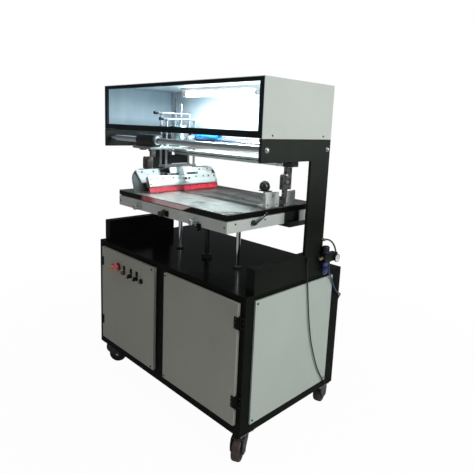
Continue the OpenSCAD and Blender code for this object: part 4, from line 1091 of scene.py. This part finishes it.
# lift rods with sleeves and flange
bm = bmesh.new()
for x in (-165, 274):
    lathe(bm, (x, -80, 600), (0, 0, 1), [(0, 0), (10, 0), (11, 1), (11, 378), (0, 378)], 48)
r1 = add("lift_rod_bars", bm, "chrome", "table", 40)
bm = bmesh.new()
lathe(bm, (54.5, -80, 430), (0, 0, 1), [(0, 0), (12.5, 0), (12.5, 548), (0, 548)], 48)
r3 = add("lift_piston_rod", bm, "dark_steel", "table", 40)
bm = bmesh.new()
for x in (-165, 274):
    lathe(bm, (x, -80, 0), (0, 0, 1), [(11.1, 918), (16, 918), (17, 919), (17, 925), (16, 926), (15, 926), (15, 977.9), (11.1, 977.9)], 48)
lathe(bm, (54.5, -80, 966), (0, 0, 1), [(12.6, 0), (29, 0), (30, 1), (30, 11.9), (12.6, 11.9)], 48)
for k in range(4):
    t_ = math.radians(45 + 90 * k)
    socket_screw(bm, (54.5 + 21 * math.cos(t_), -80 + 21 * math.sin(t_), 966), (0, 0, -1), 8, 4)
r2 = add("lift_rod_sleeves", bm, "steel", "table", 40)
swap([r1, r2, r3], "lift_rods")
bm = bmesh.new()
for x in (-165, 274):
    lathe(bm, (x, -80, 740), (0, 0, 1), [(11.1, 0), (20, 0), (20, 6.6), (18.6, 8), (12.6, 8), (11.1, 7)], 48)
    lathe(bm, (x, -80, 668), (0, 0, 1), [(11.1, 0), (22, 0), (22, 8), (16.8, 8), (16.8, 71.8), (11.1, 71.8)], 48)
swap(add("bushing_collars", bm, "dark_steel", "machine", 40), "rod_bushings")

# ------------------------------------------------------------------ carriage
bm = bmesh.new()
for y in (-264, 138):
    lathe(bm, (-278, y, 1318), (1, 0, 0), [(15.1, 0), (24, 0), (25, 0.6), (28.6, 0.6), (30, 2), (30, 9), (29.2, 9.6), (29.2, 11), (30, 11.6), (30, 138.4), (29.2, 139),
                                           (29.2, 140.4), (30, 141), (30, 148), (28.6, 149.4), (25, 149.4), (24, 150), (15.1, 150)], 64)
    b_box(bm, (-278, y - 24, 1287), (-140, y + 24, 1306), 1.2)
b1 = add("bearing_housings", bm, "dark_steel", "carriage", 35)
bm = bmesh.new()
for y in (-264, 138):
    for x0_, s in ((-278.2, -1), (-127.8, 1)):
        lathe(bm, (x0_, y, 1318), (s, 0, 0), [(15.1, -0.2), (15.1, 1.6), (16, 2.2), (20, 2.2), (20.6, 1.4), (20.6, -0.2)], 64)
    for x in (-266, -152):
        for dy in (-18, 18):
            socket_screw(bm, (x, y + dy, 1304), (0, 0, 1), 8, 4)
b2 = add("bearing_rings", bm, "steel", "carriage", 35)
swap([b1, b2], "carriage_bearings")

SQ, FL, YC, ROD_Y = -197, -245, -66, (-159, 27)
bm = bmesh.new()
for x in (SQ, FL):
    prism(bm, rounded([(-20, -20), (20, -20), (20, 20), (-20, 20)], 4), 12, to_m((x, YC, 1287)), 0.6)
    prism(bm, rounded([(-20, -20), (20, -20), (20, 20), (-20, 20)], 4), 12, to_m((x, YC, 1383)), 0.6)
    lathe(bm, (x, YC, 1299), (0, 0, 1), [(17.4, 0), (17.4, 84)], 48)
    lathe(bm, (x, YC, 1395), (0, 0, 1), [(5.1, -2), (5.1, 0.1), (10, 0.1), (10, -0.5)], 32)
    for y in ROD_Y:
        lathe(bm, (x, y, 1287), (0, 0, 1), [(6.1, 0.5), (6.1, 30), (9, 30), (9.6, 29.4), (9.6, 27), (12, 27), (12, 5), (11.4, 4.4), (11.4, 0)], 40)
c1 = add("head_cylinder_bodies", bm, "white_alu", "carriage", 32)
bm = bmesh.new()
for x in (SQ, FL):
    for sx in (-1, 1):
        for sy in (-1, 1):
            lathe(bm, (x + sx * 15, YC + sy * 15, 1299), (0, 0, 1), [(2.5, 0), (2.5, 84)], 12)
            socket_screw(bm, (x + sx * 15, YC + sy * 15, 1395), (0, 0, 1), 7, 3)
b_box(bm, (-176, -40, 1287), (-154, -6, 1345), 1.2)
for z in (1300, 1332):
    for y in (-32, -14):
        socket_screw(bm, (-154, y, z), (1, 0, 0), 6, 2.4)
c2 = add("cylinder_tie_rods", bm, "steel", "carriage", 32)
swap([c1, c2], "head_cylinders")
# push-in fittings and the small air lines of the head
bm = bmesh.new()
fit = [((SQ, YC - 20, 1293), (0, -1, 0)), ((SQ, YC - 20, 1389), (0, -1, 0)), ((FL, YC - 20, 1389), (0, -1, 0)), ((-165, -23, 1345), (0, 0, 1)), ((-165, -33, 1345), (0, 0, 1))]
for p, d in fit:
    hex_prof(bm, p, d, 10, 4, 0.5)
    q = Vector(p) + Vector(d) * 4
    lathe(bm, tuple(q), d, [(4, 0), (4.4, 0.6), (4.4, 6), (3.4, 7.4), (0, 7.4)], 20)
add("air_fittings", bm, "black_plastic", "carriage", 32)
bm = bmesh.new()
tube_path(bm, smooth_path([(SQ, YC - 31, 1293), (SQ, YC - 42, 1296), (SQ + 8, YC - 46, 1312), (SQ + 20, -100, 1336), (-168, -80, 1368), (-162, -50, 1374), (-164, -35, 1364), (-165, -33, 1356)], 6), 4.2, 8)
tube_path(bm, smooth_path([(SQ, YC - 31, 1389), (SQ + 3, YC - 42, 1390), (SQ + 14, -98, 1388), (-172, -72, 1384), (-165, -38, 1378), (-165, -24, 1366), (-165, -23, 1356)], 6), 4.2, 8)
add("head_air_lines", bm, "cyan_hose", "carriage", 60)


def yoke(x, zt, zk, body, mats, names):
    bm = bmesh.new()
    prism(bm, rounded([(-6, ROD_Y[0] - 12), (6, ROD_Y[0] - 12), (6, ROD_Y[1] + 12), (-6, ROD_Y[1] + 12)], 2), 12, to_m((x, 0, 1178)), 0.8)
    lathe(bm, (x, ROD_Y[0] - 22, zt), (0, 1, 0), [(0, 0), (4.6, 0), (5, 0.6), (5, 221.4), (4.6, 222), (0, 222)], 40)
    for y in ROD_Y:
        lathe(bm, (x, y, zt - 13), (0, 0, 1), [(6, 0), (8.6, 0), (9, 0.6), (9, 13)], 32)
    a_ = add(names[0], bm, mats[0], body, 35)
    bm = bmesh.new()
    for y in ROD_Y:
        lathe(bm, (x, y, 1189), (0, 0, 1), [(5.9, 0), (6, 0.6), (6, zt - 1190)], 40)
    lathe(bm, (x, YC, 1330), (0, 0, 1), [(0, 0), (5, 0), (5, zt - 1331)], 32)
    d_ = add(names[3], bm, "chrome", body, 35)
    bm = bmesh.new()
    lathe(bm, (x, ROD_Y[0] - 46, zt), (0, 1, 0), [(0, 0), (6.5, 0), (8.5, 2), (8.5, 22), (7.4, 23.8), (6, 23.8)], 40, 20, 0.4, (2, 3))
    b_ = add(names[1], bm, "black_plastic", body, 35)
    bm = bmesh.new()
    lathe(bm, (x, YC, zt + 4), (0, 0, 1), [(0, 0), (3.4, 0), (3.4, zk - zt - 5), (2.8, zk - zt - 4), (0, zk - zt - 4)], 24)
    hex_prof(bm, (x, YC, zt + 6.1), (0, 0, 1), 12.9, 7, 0.8)
    for k in range(8):
        lathe(bm, (x, YC, zt + 20 + k * 5), (0, 0, 1), [(3.4, 0), (3.6, 1.2), (3.4, 2.4)], 20)
    for y in ROD_Y:
        socket_screw(bm, (x, y, zt + 5.4), (0, 0, 1), 8, 4)
        socket_screw(bm, (x, y, 1178), (0, 0, -1), 8, 3)
    c_ = add(names[2], bm, mats[1], body, 35)
    return [a_, b_, c_, d_]


LEAN = math.radians(-20)
LX, LZ = Vector((math.cos(LEAN), 0, -math.sin(LEAN))), Vector((math.sin(LEAN), 0, math.cos(LEAN)))


def leaned(x, z, loc=(0, 0, 0), cols=((1, 0, 0), (0, 1, 0), (0, 0, 1))):
    """Placement in the tilted blade frame."""
    def turn(v):
        return LX * v[0] + Vector((0, 1, 0)) * v[1] + LZ * v[2]
    return to_m(Vector((x, 0, z)) + turn(loc), tuple(turn(c) for c in cols))


def lean_box(bm, x, z, a, b, bevel=0.6, mi=0):
    prism(bm, [(a[0], a[1]), (b[0], a[1]), (b[0], b[1]), (a[0], b[1])], b[2] - a[2], leaned(x, z, (0, 0, a[2])), bevel, mi)


def lean_pt(x, z, p):
    v = Vector((x, 0, z)) + LX * p[0] + Vector((0, 1, 0)) * p[1] + LZ * p[2]
    return tuple(v)


parts = yoke(SQ, 1427, 1505, "squeegee", ("yoke_alu", "steel"), ("squeegee_bars", "squeegee_bar_knob", "squeegee_adjuster", "squeegee_rods"))
bm = bmesh.new()
lean_box(bm, -152, 1056.4, (-9, -170, 84.5), (9, 42, 95.5), 1.2)
parts.append(add("squeegee_clamp_bar", bm, "dark_steel", "squeegee", 32))
bm = bmesh.new()
lean_box(bm, -152, 1056.4, (-4, -140, 95.6), (4, 10, 129), 1.0)
prism(bm, rounded([(-92, 84.5), (-40, 84.5), (-40, 121), (-46, 128), (-86, 128), (-92, 121)], 3), 10, leaned(-152, 1056.4, (4, 0, 0), ((0, 1, 0), (0, 0, 1), (1, 0, 0))), 0.8)
parts.append(add("squeegee_drop_plate", bm, "cast_white", "squeegee", 32))
bm = bmesh.new()
for y in (-160, -150, 24, 34):
    socket_screw(bm, lean_pt(-152, 1056.4, (9, y, 90)), tuple(LX), 6, 2.6)
for y, z in ((-84, 120), (-48, 120), (-66, 110), (-84, 92), (-48, 92)):
    socket_screw(bm, lean_pt(-152, 1056.4, (14, y, z)), tuple(LX), 7, 3)
parts.append(add("squeegee_clamp_screws", bm, "steel", "squeegee", 32))
swap(parts, "squeegee_yoke")
# holder extrusion with a rolled top, dark screw dots and the clamp wheel with its two lobes
bm = bmesh.new()
sect = [(-10, 30), (-12, 34), (-12, 80), (-10.6, 84), (9.6, 84), (11, 80), (11, 58), (12.4, 54), (13, 50), (13, 36), (12, 32), (10, 30), (4.7, 30), (4.7, 61.5), (-4.7, 61.5), (-4.7, 30)]
prism(bm, sect, 455, leaned(-152, 1056.4, (0, 166, 0), ((1, 0, 0), (0, 0, 1), (0, -1, 0))), 0.5)
h1 = add("holder_extrusion", bm, "white_alu", "squeegee", 32)
bm = bmesh.new()
for y in (-275, -238, -200, -135, 20, 72, 110, 150):
    lathe(bm, lean_pt(-152, 1056.4, (10.6, y, 70)), tuple(LX), [(4.6, 0), (4.6, 1.4), (3.8, 2), (2.4, 2), (2.2, 1), (0, 1)], 24)
for y in (-282, 159):
    socket_screw(bm, lean_pt(-152, 1056.4, (12.6, y, 43)), tuple(LX), 7, 2.4)
h2 = add("holder_screws", bm, "dark_steel", "squeegee", 32)
bm = bmesh.new()
lathe(bm, lean_pt(-152, 1056.4, (11, -52, 60)), tuple(LX), [(0, 0), (17.5, 0), (20, 1.5), (20, 9), (18, 11), (8, 11.4), (7.4, 14), (5, 14.2), (4.4, 12.4), (0, 12.4)], 60, 30, 0.6, (2, 3))
h3 = add("holder_clamp_wheel", bm, "cast_white", "squeegee", 32)
bm = bmesh.new()
for s in (-1, 1):
    prism(bm, rounded([(s * 5, -6), (s * 17, -4.6), (s * 17, 4.6), (s * 5, 6)], 2.5), 6, leaned(-152, 1056.4, (21.6, -52, 60), ((0, 1, 0), (0, 0, 1), (1, 0, 0))), 0.6)
h4 = add("holder_wheel_lobes", bm, "black_plastic", "squeegee", 32)
swap([h1, h2, h3, h4], "squeegee_holder")

parts = yoke(FL, 1457, 1536, "flood_bar", ("yoke_alu", "dark_steel"), ("flood_bars", "flood_bar_knob", "flood_adjuster", "flood_rods"))
bm = bmesh.new()
lean_box(bm, -202, 1060, (-4, -120, 118.2), (6, -12, 127), 0.8)
parts.append(add("flood_clamp_block", bm, "dark_steel", "flood_bar", 32))
swap(parts, "flood_yoke")
bm = bmesh.new()
y0, y1, zt, r_ = -349, 216, 118, 59
outl = [(y0, 0), (y1, 0)]
outl += [(y1 - r_ + r_ * math.cos(t), zt - r_ + r_ * math.sin(t)) for t in [math.pi / 2 * k / 14 for k in range(15)]]
outl += [(y0 + r_ - r_ * math.sin(t), zt - r_ + r_ * math.cos(t)) for t in [math.pi / 2 * k / 14 for k in range(15)]]
prism(bm, outl, 3, leaned(-202, 1060, (0, 0, 0), ((0, 1, 0), (0, 0, 1), (1, 0, 0))), 0.4)
g1 = add("flood_plate", bm, "dark_plate", "flood_bar", 32)
bm = bmesh.new()
prism(bm, rounded([(-300, 42), (170, 42), (190, 112), (-326, 112)], 6), 9.9, leaned(-202, 1060, (3, 0, 0), ((0, 1, 0), (0, 0, 1), (1, 0, 0))), 0.8)
g2 = add("flood_holder", bm, "holder_inked", "flood_bar", 32)
bm = bmesh.new()
for y in (-290, -220, -150, -66, 20, 90, 150):
    socket_screw(bm, lean_pt(-202, 1060, (12.9, y, 98)), tuple(LX), 8, 3)
g3 = add("flood_screws", bm, "dark_steel", "flood_bar", 32)
swap([g1, g2, g3], "flood_blade")

# ------------------------------------------------------------------ drive tube
bm = bmesh.new()
prism(bm, rounded([(-14, -14), (14, -14), (14, 14), (-14, 14)], 3), 737, to_m((-222, YC, 1258), ((0, 1, 0), (0, 0, 1), (1, 0, 0))), 0.5)
lathe(bm, (-236, YC, 1258), (1, 0, 0), [(5.2, 0), (13.4, 0), (15, 1.4), (15, 14.5)], 48)
lathe(bm, (514.5, YC, 1258), (1, 0, 0), [(15, 0), (15, 9), (14, 10), (0, 10)], 48)
t1 = add("drive_tube_body", bm, "white_alu", "machine", 32)
bm = bmesh.new()
for s in (-1, 1):
    b_box(bm, (-214, YC + (s * 14 - 0.6 if s > 0 else -14.4), 1256), (509, YC + (14.4 if s > 0 else -13.4), 1260), 0.2)
b_box(bm, (-231, YC - 2, 1271.2), (511, YC + 2, 1272.4), 0.2)
b_box(bm, (-560.9, YC - 13, 1246), (-533, YC + 13, 1270), 1.0)
b_box(bm, (-567.8, YC - 13, 1246), (-560.8, YC + 13, 1310), 1.0)
b_box(bm, (515.1, YC - 15, 1243), (539.9, YC + 15, 1272), 1.0)
b_box(bm, (539, YC - 15, 1250), (561, YC + 15, 1258), 1.0)
b_box(bm, (560.9, YC - 15, 1250), (567.8, YC + 15, 1310), 1.0)
for x in (-200, 480):
    for y in (-8, 8):
        socket_screw(bm, (x, YC + y, 1244), (0, 0, -1), 5, 2)
t2 = add("drive_tube_slots", bm, "dark_steel", "machine", 32)
bm = bmesh.new()
lathe(bm, (-560, YC, 1258), (1, 0, 0), [(0, 0), (4.4, 0), (5, 0.6), (5, 324)], 32)
hex_prof(bm, (-533, YC, 1258), (1, 0, 0), 15, 5, 0.8)
for s in (-1, 1):
    for y in (-7, 7):
        for z in (1280, 1300):
            socket_screw(bm, (s * 560.8, YC + y, z), (-s, 0, 0), 8, 4)
t3 = add("drive_rod", bm, "chrome", "machine", 32)
swap([t1, t2, t3], "drive_cylinder")

# ------------------------------------------------------------------ regulator
bm = bmesh.new()
b_box(bm, (582.2, 118, 812), (586, 156, 842), 0.6)
prism(bm, rounded([(586, 137), (618, 137), (618, 184), (586, 184)], 3), 39.8, to_m((0, 0, 806)), 1.2)
prism(bm, rounded([(586, 185.4), (618, 185.4), (618, 236), (586, 236)], 3), 36, to_m((0, 0, 806.4)), 1.2)
b_box(bm, (588.5, 183, 810), (615.5, 187, 838), 0.6)
q1 = add("regulator_block", bm, "black_plastic", "machine", 32)
bm = bmesh.new()
lathe(bm, (602, 158, 746), (0, 0, 1), [(0, 0), (3, 0), (3.4, 1), (8.4, 1.4), (12, 4.6), (14.2, 9.6), (15.2, 14), (15.9, 46), (15.2, 47), (15.2, 49), (15.9, 50), (15.9, 60.2)], 48)
q2 = add("regulator_bowls", bm, "bowl_blue", "machine", 40)
bm = bmesh.new()
lathe(bm, (618, 222, 818), (1, 0, 0), [(5, -1), (6, 0.8), (17, 1.6), (19, 3), (19, 8.9), (18.4, 9.4), (17.4, 9.4), (17.2, 8.4)], 48)
q3 = add("gauge_case", bm, "black_plastic", "machine", 40)
bm = bmesh.new()
lathe(bm, (626.6, 222, 818), (1, 0, 0), [(17.3, -0.3), (17.3, 0), (0, 0.05)], 40, mi=[0, 0])
for k in range(11):
    t_ = math.radians(225 - 27 * k)
    c_, s_ = math.cos(t_), math.sin(t_)
    dv, wv = Vector((0, c_, s_)), Vector((0, -s_, c_))
    prism(bm, [(12.4, -0.4), (15.8, -0.4), (15.8, 0.4), (12.4, 0.4)], 0.25, to_m((626.6, 222, 818), (dv, wv, dv.cross(wv))), 0, 1)
dv = Vector((0, math.cos(math.radians(110)), math.sin(math.radians(110))))
wv = Vector((0, -dv.z, dv.y))
prism(bm, [(-4, -0.8), (13, -0.35), (13, 0.35), (-4, 0.8)], 0.4, to_m((626.8, 222, 818), (dv, wv, dv.cross(wv))), 0, 1)
q4 = add("gauge_dial", bm, ["gauge_white", "black_plastic"], "machine", 40)
bm = bmesh.new()
lathe(bm, (602, 112, 826), (0, 1, 0), [(0, 0), (5.4, 0), (7, 1.6), (7, 9), (6, 10), (6, 13), (7, 14), (7, 25)], 32)
hex_prof(bm, (602, 129, 826), (0, 1, 0), 13.6, 4, 0.4)
lathe(bm, (604, 190, 799.9), (0, 0, 1), [(4.1, 0), (6, 0), (6, 6.5)], 32)
lathe(bm, (582.2, 152, 909), (1, 0, 0), [(0, 0), (7, 0), (7, 5), (6.2, 5.6), (6.2, 7), (7, 7.6), (7, 14), (5.6, 15.8), (0, 15.9)], 32)
lathe(bm, (594, 236, 826), (0, 1, 0), [(7, 0), (7, 8), (6.2, 8.8), (6.2, 10.4), (7, 11), (7, 22), (5.6, 24), (5.6, 27), (4.4, 27.8), (4.1, 27.9)], 32)
q5 = add("regulator_fittings", bm, "brass", "machine", 40)
bm = bmesh.new()
arc = []
for k in range(0, 41):
    t_ = math.radians(13.5 + 76.5 * k / 40)
    arc.append(P(594, 152 + 110 * math.cos(t_), 799 + 110 * math.sin(t_)))
tube_path(bm, arc, 8, 14)
q6 = add("link_hose", bm, "clear_hose", "machine", 60)
swap([q1, q2, q3, q4, q5, q6], "regulator_body")
bm = bmesh.new()
lathe(bm, (602, 158, 838.5), (0, 0, 1), [(0, 0), (8, 0), (8, 8.5), (16.4, 8.5), (17, 9.2), (18, 12), (18, 18), (17, 19), (17, 36), (16, 39), (13, 41.6), (0, 42)], 64, 32, 0.6, (7, 8))
swap(add("regulator_cap", bm, "navy_plastic", "regulator_knob", 40), "regulator_knob")

# ------------------------------------------------------------------ glands and hose elbow
bm = bmesh.new()
lathe(bm, (582, 38, 838), (1, 0, 0), [(0, 0), (9, 0), (9, 3.6), (8.4, 4), (6.5, 4), (6.5, 8)], 32)
lathe(bm, (590, 38, 843.8), (0, 0, -1), [(0, 0), (3, 0.3), (5.4, 2.2), (6.4, 5), (6.4, 8), (5.5, 10), (5.5, 20.6), (5, 21.8), (3.2, 21.8)], 32, 16, 0.3, (6,))
lathe(bm, (575, 252, 156), (1, 0, 0), [(0, 0), (9, 0), (9, 3.6), (8.4, 4), (6, 4), (6, 14)], 32)
la2 = math.radians(35.3)
dv = Vector((0, -math.sin(la2), math.cos(la2)))
lathe(bm, tuple(Vector((590, 252, 156)) - dv * 5.8), dv, [(0, 0), (3, 0.4), (5, 1.8), (5.9, 4.2), (5.9, 7), (5, 9), (5, 29), (4.6, 29.8), (3.2, 29.8)], 32)
lathe(bm, (470, 346, 360), (0, 1, 0), [(0, 0), (7.7, 0), (7.7, 6), (11, 6), (11, 10.4), (10.4, 11), (6, 11), (6, 20.5)], 32)
lathe(bm, (464.2, 367.5, 360), (1, 0, 0), [(0, 0), (3, 0.4), (5, 1.8), (5.9, 4.2), (6, 7), (6, 20.6), (5.4, 21.7), (4.1, 21.7)], 32)
swap(add("elbow_glands", bm, "black_plastic", "machine", 40), "cable_glands")
bm = bmesh.new()
lathe(bm, (300, 345, 260), (0, 1, 0), [(4.6, 0), (12.4, 0), (12.4, 8), (4.6, 8)], 40)
lathe(bm, (300, 346.5, 260), (0, 1, 0), [(12.4, 0), (16.3, 0), (16.3, 3.8), (12.4, 3.8)], 6)
lathe(bm, (300, 352.1, 260), (0, 1, 0), [(12, 0), (15.6, 0), (16.3, 0.7), (16.3, 5), (15.4, 5.9), (12, 5.9)], 6)
lathe(bm, (300, 358, 260), (0, 1, 0), [(12, 0), (13.4, 0.4), (13.4, 6), (12.6, 8), (9, 13.8), (4.8, 14), (4.6, 12), (4.6, -5)], 40, 20, 0.4, (2, 3))
swap(add("supply_gland_nut", bm, "black_plastic", "machine", 32), "power_inlet")

# ------------------------------------------------------------------ screen clamps
def drilled(bm, a, b, cx_, cz_, r):
    """Block with a round hole through it along Y; a and b are corners as (x, z, y)."""
    ang = [2 * math.pi * k / 32 for k in range(32)]
    ang += [math.atan2(z - cz_, x - cx_) % (2 * math.pi) for x in (a[0], b[0]) for z in (a[1], b[1])]
    ang.sort()
    t = bmesh.new()
    rings = []
    for y in (a[2], b[2]):
        out, inn = [], []
        for t_ in ang:
            c_, s_ = math.cos(t_), math.sin(t_)
            k = min([((b[0] if c_ > 0 else a[0]) - cx_) / c_ if abs(c_) > 1e-9 else 1e9, ((b[1] if s_ > 0 else a[1]) - cz_) / s_ if abs(s_) > 1e-9 else 1e9])
            out.append(t.verts.new(P(cx_ + k * c_, y, cz_ + k * s_)))
            inn.append(t.verts.new(P(cx_ + r * c_, y, cz_ + r * s_)))
        rings.append((out, inn))
    n = len(ang)
    (o0, i0), (o1, i1) = rings
    for k in range(n):
        j = (k + 1) % n
        t.faces.new((o0[k], i0[k], i0[j], o0[j]))
        t.faces.new((o1[k], o1[j], i1[j], i1[k]))
        t.faces.new((o0[k], o0[j], o1[j], o1[k]))
        t.faces.new((i0[k], i1[k], i1[j], i0[j]))
    merge(bm, t)


for s, body, nodename, dy, base, top in ((1, "clamp_right", "screen_clamp_right", 0, "clamp_grey", "cast_white"), (-1, "clamp_left", "screen_clamp_left", -22, "clamp_brown", "clamp_brown")):
    tag = body[6:]

    def cbox(bm_, a, b, bev=1.0):
        xs_ = sorted((s * a[0], s * b[0]))
        b_box(bm_, (xs_[0], a[1], a[2]), (xs_[1], b[1], b[2]), bev)
    bm = bmesh.new()
    cbox(bm, (514, -46, 1271), (567.5, 26.4, 1320), 2.0)
    cbox(bm, (514, -45.9, 1239.2), (524.9, 13.9, 1290), 1.2)
    cbox(bm, (494.1, -45.9, 1239.2), (524.9, 13.9, 1262), 1.6)
    k1 = add("clamp_slide_" + tag, bm, top, body, 32)
    bm = bmesh.new()
    pts_ = rounded([(-70 + dy, 1142), (-12 + dy, 1142), (-12 + dy, 1204), (-16 + dy, 1209.8), (-64 + dy, 1209.8), (-70 + dy, 1202)], 5)
    prism(bm, pts_, 18.8, to_m(((494.1 if s > 0 else -512.9), 0, 0), ((0, 1, 0), (0, 0, 1), (1, 0, 0))), 1.2)
    cbox(bm, (494.1, -46, 1205), (512.9, -12, 1239.1), 1.2)
    cbox(bm, (500, -60 + dy, 1111), (513, -38 + dy, 1143), 1.0)
    # rib cast along the post
    cbox(bm, (512.5, -30 + dy, 1146), (515.5, -24 + dy, 1206), 1.2)
    k2 = add("clamp_post_" + tag, bm, base, body, 32)
    bm = bmesh.new()
    xs_ = sorted((s * 490, s * 509))
    drilled(bm, (xs_[0], 1066, -57 + dy), (xs_[1], 1112, -37 + dy), s * 499.5, 1089, 5.05)
    k3 = add("clamp_jaw_" + tag, bm, "dark_plate", body, 32)
    bm = bmesh.new()
    for z in (1178, 1202):
        lathe(bm, (s * 512.9, -52 + dy, z), (s, 0, 0), [(0, -1), (4, -1), (4, 6.1), (7.6, 6.2), (8.5, 7.0), (8.5, 11.2), (7.6, 12), (4.4, 12.1), (3.6, 10.8), (0, 10.8)], 40, 16, 0.5, (4, 5))
    for y in (-34, 2):
        socket_screw(bm, (s * 524.9, y, 1251), (s, 0, 0), 9, 1.0)
        socket_screw(bm, (s * 514, y, 1306), (-s, 0, 0), 9, 4)
    socket_screw(bm, (s * 512.9, -20 + dy, 1156), (s, 0, 0), 7, 2.4)
    socket_screw(bm, (s * 512.9, -20 + dy, 1196), (s, 0, 0), 7, 2.4)
    socket_screw(bm, (s * 506, -60 + dy, 1127), (0, -1, 0), 7, 3)
    # bush at each end of the bore and the pinch screw of the jaw
    for y, d in ((-57, -1), (-37, 1)):
        lathe(bm, (s * 499.5, y + dy, 1089), (0, d, 0), [(5.05, -1), (5.05, 0.8), (6.6, 0.8), (7, 0.5), (7, -1)], 32)
    socket_screw(bm, (s * 509, -47 + dy, 1076), (s, 0, 0), 8, 3)
    k4 = add("clamp_screws_" + tag, bm, "steel", body, 32)
    swap([k1, k2, k3, k4], nodename)

# ------------------------------------------------------------------ floor, world, lights
me = bpy.data.meshes.new("floor")
me.from_pydata([(-14, -14, 0), (14, -14, 0), (14, 14, 0), (-14, 14, 0)], [], [(0, 1, 2, 3)])
floor = bpy.data.objects.new("floor", me)
scene.collection.objects.link(floor)
fm, nt, b = new_mat("floor_pale")
fvec = coords(nt)
nt.links.new(mix_col(nt, noise(nt, fvec, 0.6, 3), (0.80, 0.80, 0.795), (0.84, 0.84, 0.835)), b.inputs["Base Color"])
b.inputs["Roughness"].default_value = 0.8
b.inputs["Specular IOR Level"].default_value = 0.1
em = node(nt, "Emission")
em.inputs[0].default_value = (1, 1, 1, 1)
em.inputs[1].default_value = 1.0
ln = node(nt, "VectorMath", operation="LENGTH")
nt.links.new(fvec, ln.inputs[0])
lpf = node(nt, "LightPath")
mixf = node(nt, "MixShader")
nt.links.new(math_n(nt, "MULTIPLY", lpf.outputs["Is Camera Ray"], remap(nt, ln.outputs["Value"], 0.9, 2.6, 0.975, 1.0)), mixf.inputs[0])
nt.links.new(b.outputs[0], mixf.inputs[1])
nt.links.new(em.outputs[0], mixf.inputs[2])
nt.links.new(mixf.outputs[0], [n for n in nt.nodes if n.bl_idname == "ShaderNodeOutputMaterial"][0].inputs[0])
me.materials.append(fm)

world = bpy.data.worlds.new("studio")
scene.world = world
world.use_nodes = True
wn = world.node_tree
wn.nodes.clear()
wo = wn.nodes.new("ShaderNodeOutputWorld")
bg = wn.nodes.new("ShaderNodeBackground")
bg2 = wn.nodes.new("ShaderNodeBackground")
mx = wn.nodes.new("ShaderNodeMixShader")
lp = wn.nodes.new("ShaderNodeLightPath")
bg.inputs[0].default_value = (0.93, 0.96, 1.0, 1)
bg.inputs[1].default_value = 0.13
bg2.inputs[0].default_value = (1, 1, 1, 1)
bg2.inputs[1].default_value = 1.0
wn.links.new(lp.outputs["Is Camera Ray"], mx.inputs[0])
wn.links.new(bg.outputs[0], mx.inputs[1])
wn.links.new(bg2.outputs[0], mx.inputs[2])
wn.links.new(mx.outputs[0], wo.inputs[0])


def area(name, loc, target, size, power, color=(1, 1, 1), size_y=None):
    li = bpy.data.lights.new(name, "AREA")
    li.energy = power
    li.color = color
    li.shape = "RECTANGLE"
    li.size = size
    li.size_y = size_y or size
    o = bpy.data.objects.new(name, li)
    scene.collection.objects.link(o)
    o.location = loc
    o.rotation_mode = "QUATERNION"
    o.rotation_quaternion = (Vector(target) - Vector(loc)).to_track_quat("-Z", "Y")
    return o


area("key_right", (3.4, 0.3, 2.5), (0.2, 0, 0.98), 2.2, 81, (0.97, 1.0, 0.985))
area("front_fill", (-0.6, -4.2, 2.3), (0, 0, 0.7), 2.4, 13, (1.0, 0.955, 0.875))
area("top_soft", (0.4, -0.4, 4.2), (0, 0, 0.8), 3.0, 32, (0.96, 1.0, 0.99))
area("hood_lamp", tuple(P(60, -26, 1540)), tuple(P(60, -26, 1300)), 0.5, 8.2, (0.86, 0.94, 1.0), 0.03)
area("hood_lamp_up", tuple(P(300, 40, 1400)), tuple(P(560, 120, 1520)), 0.3, 2.2, (0.86, 0.94, 1.0), 0.1)

scene.view_settings.view_transform = "Standard"
scene.view_settings.look = "None"
scene.view_settings.exposure = 0.0
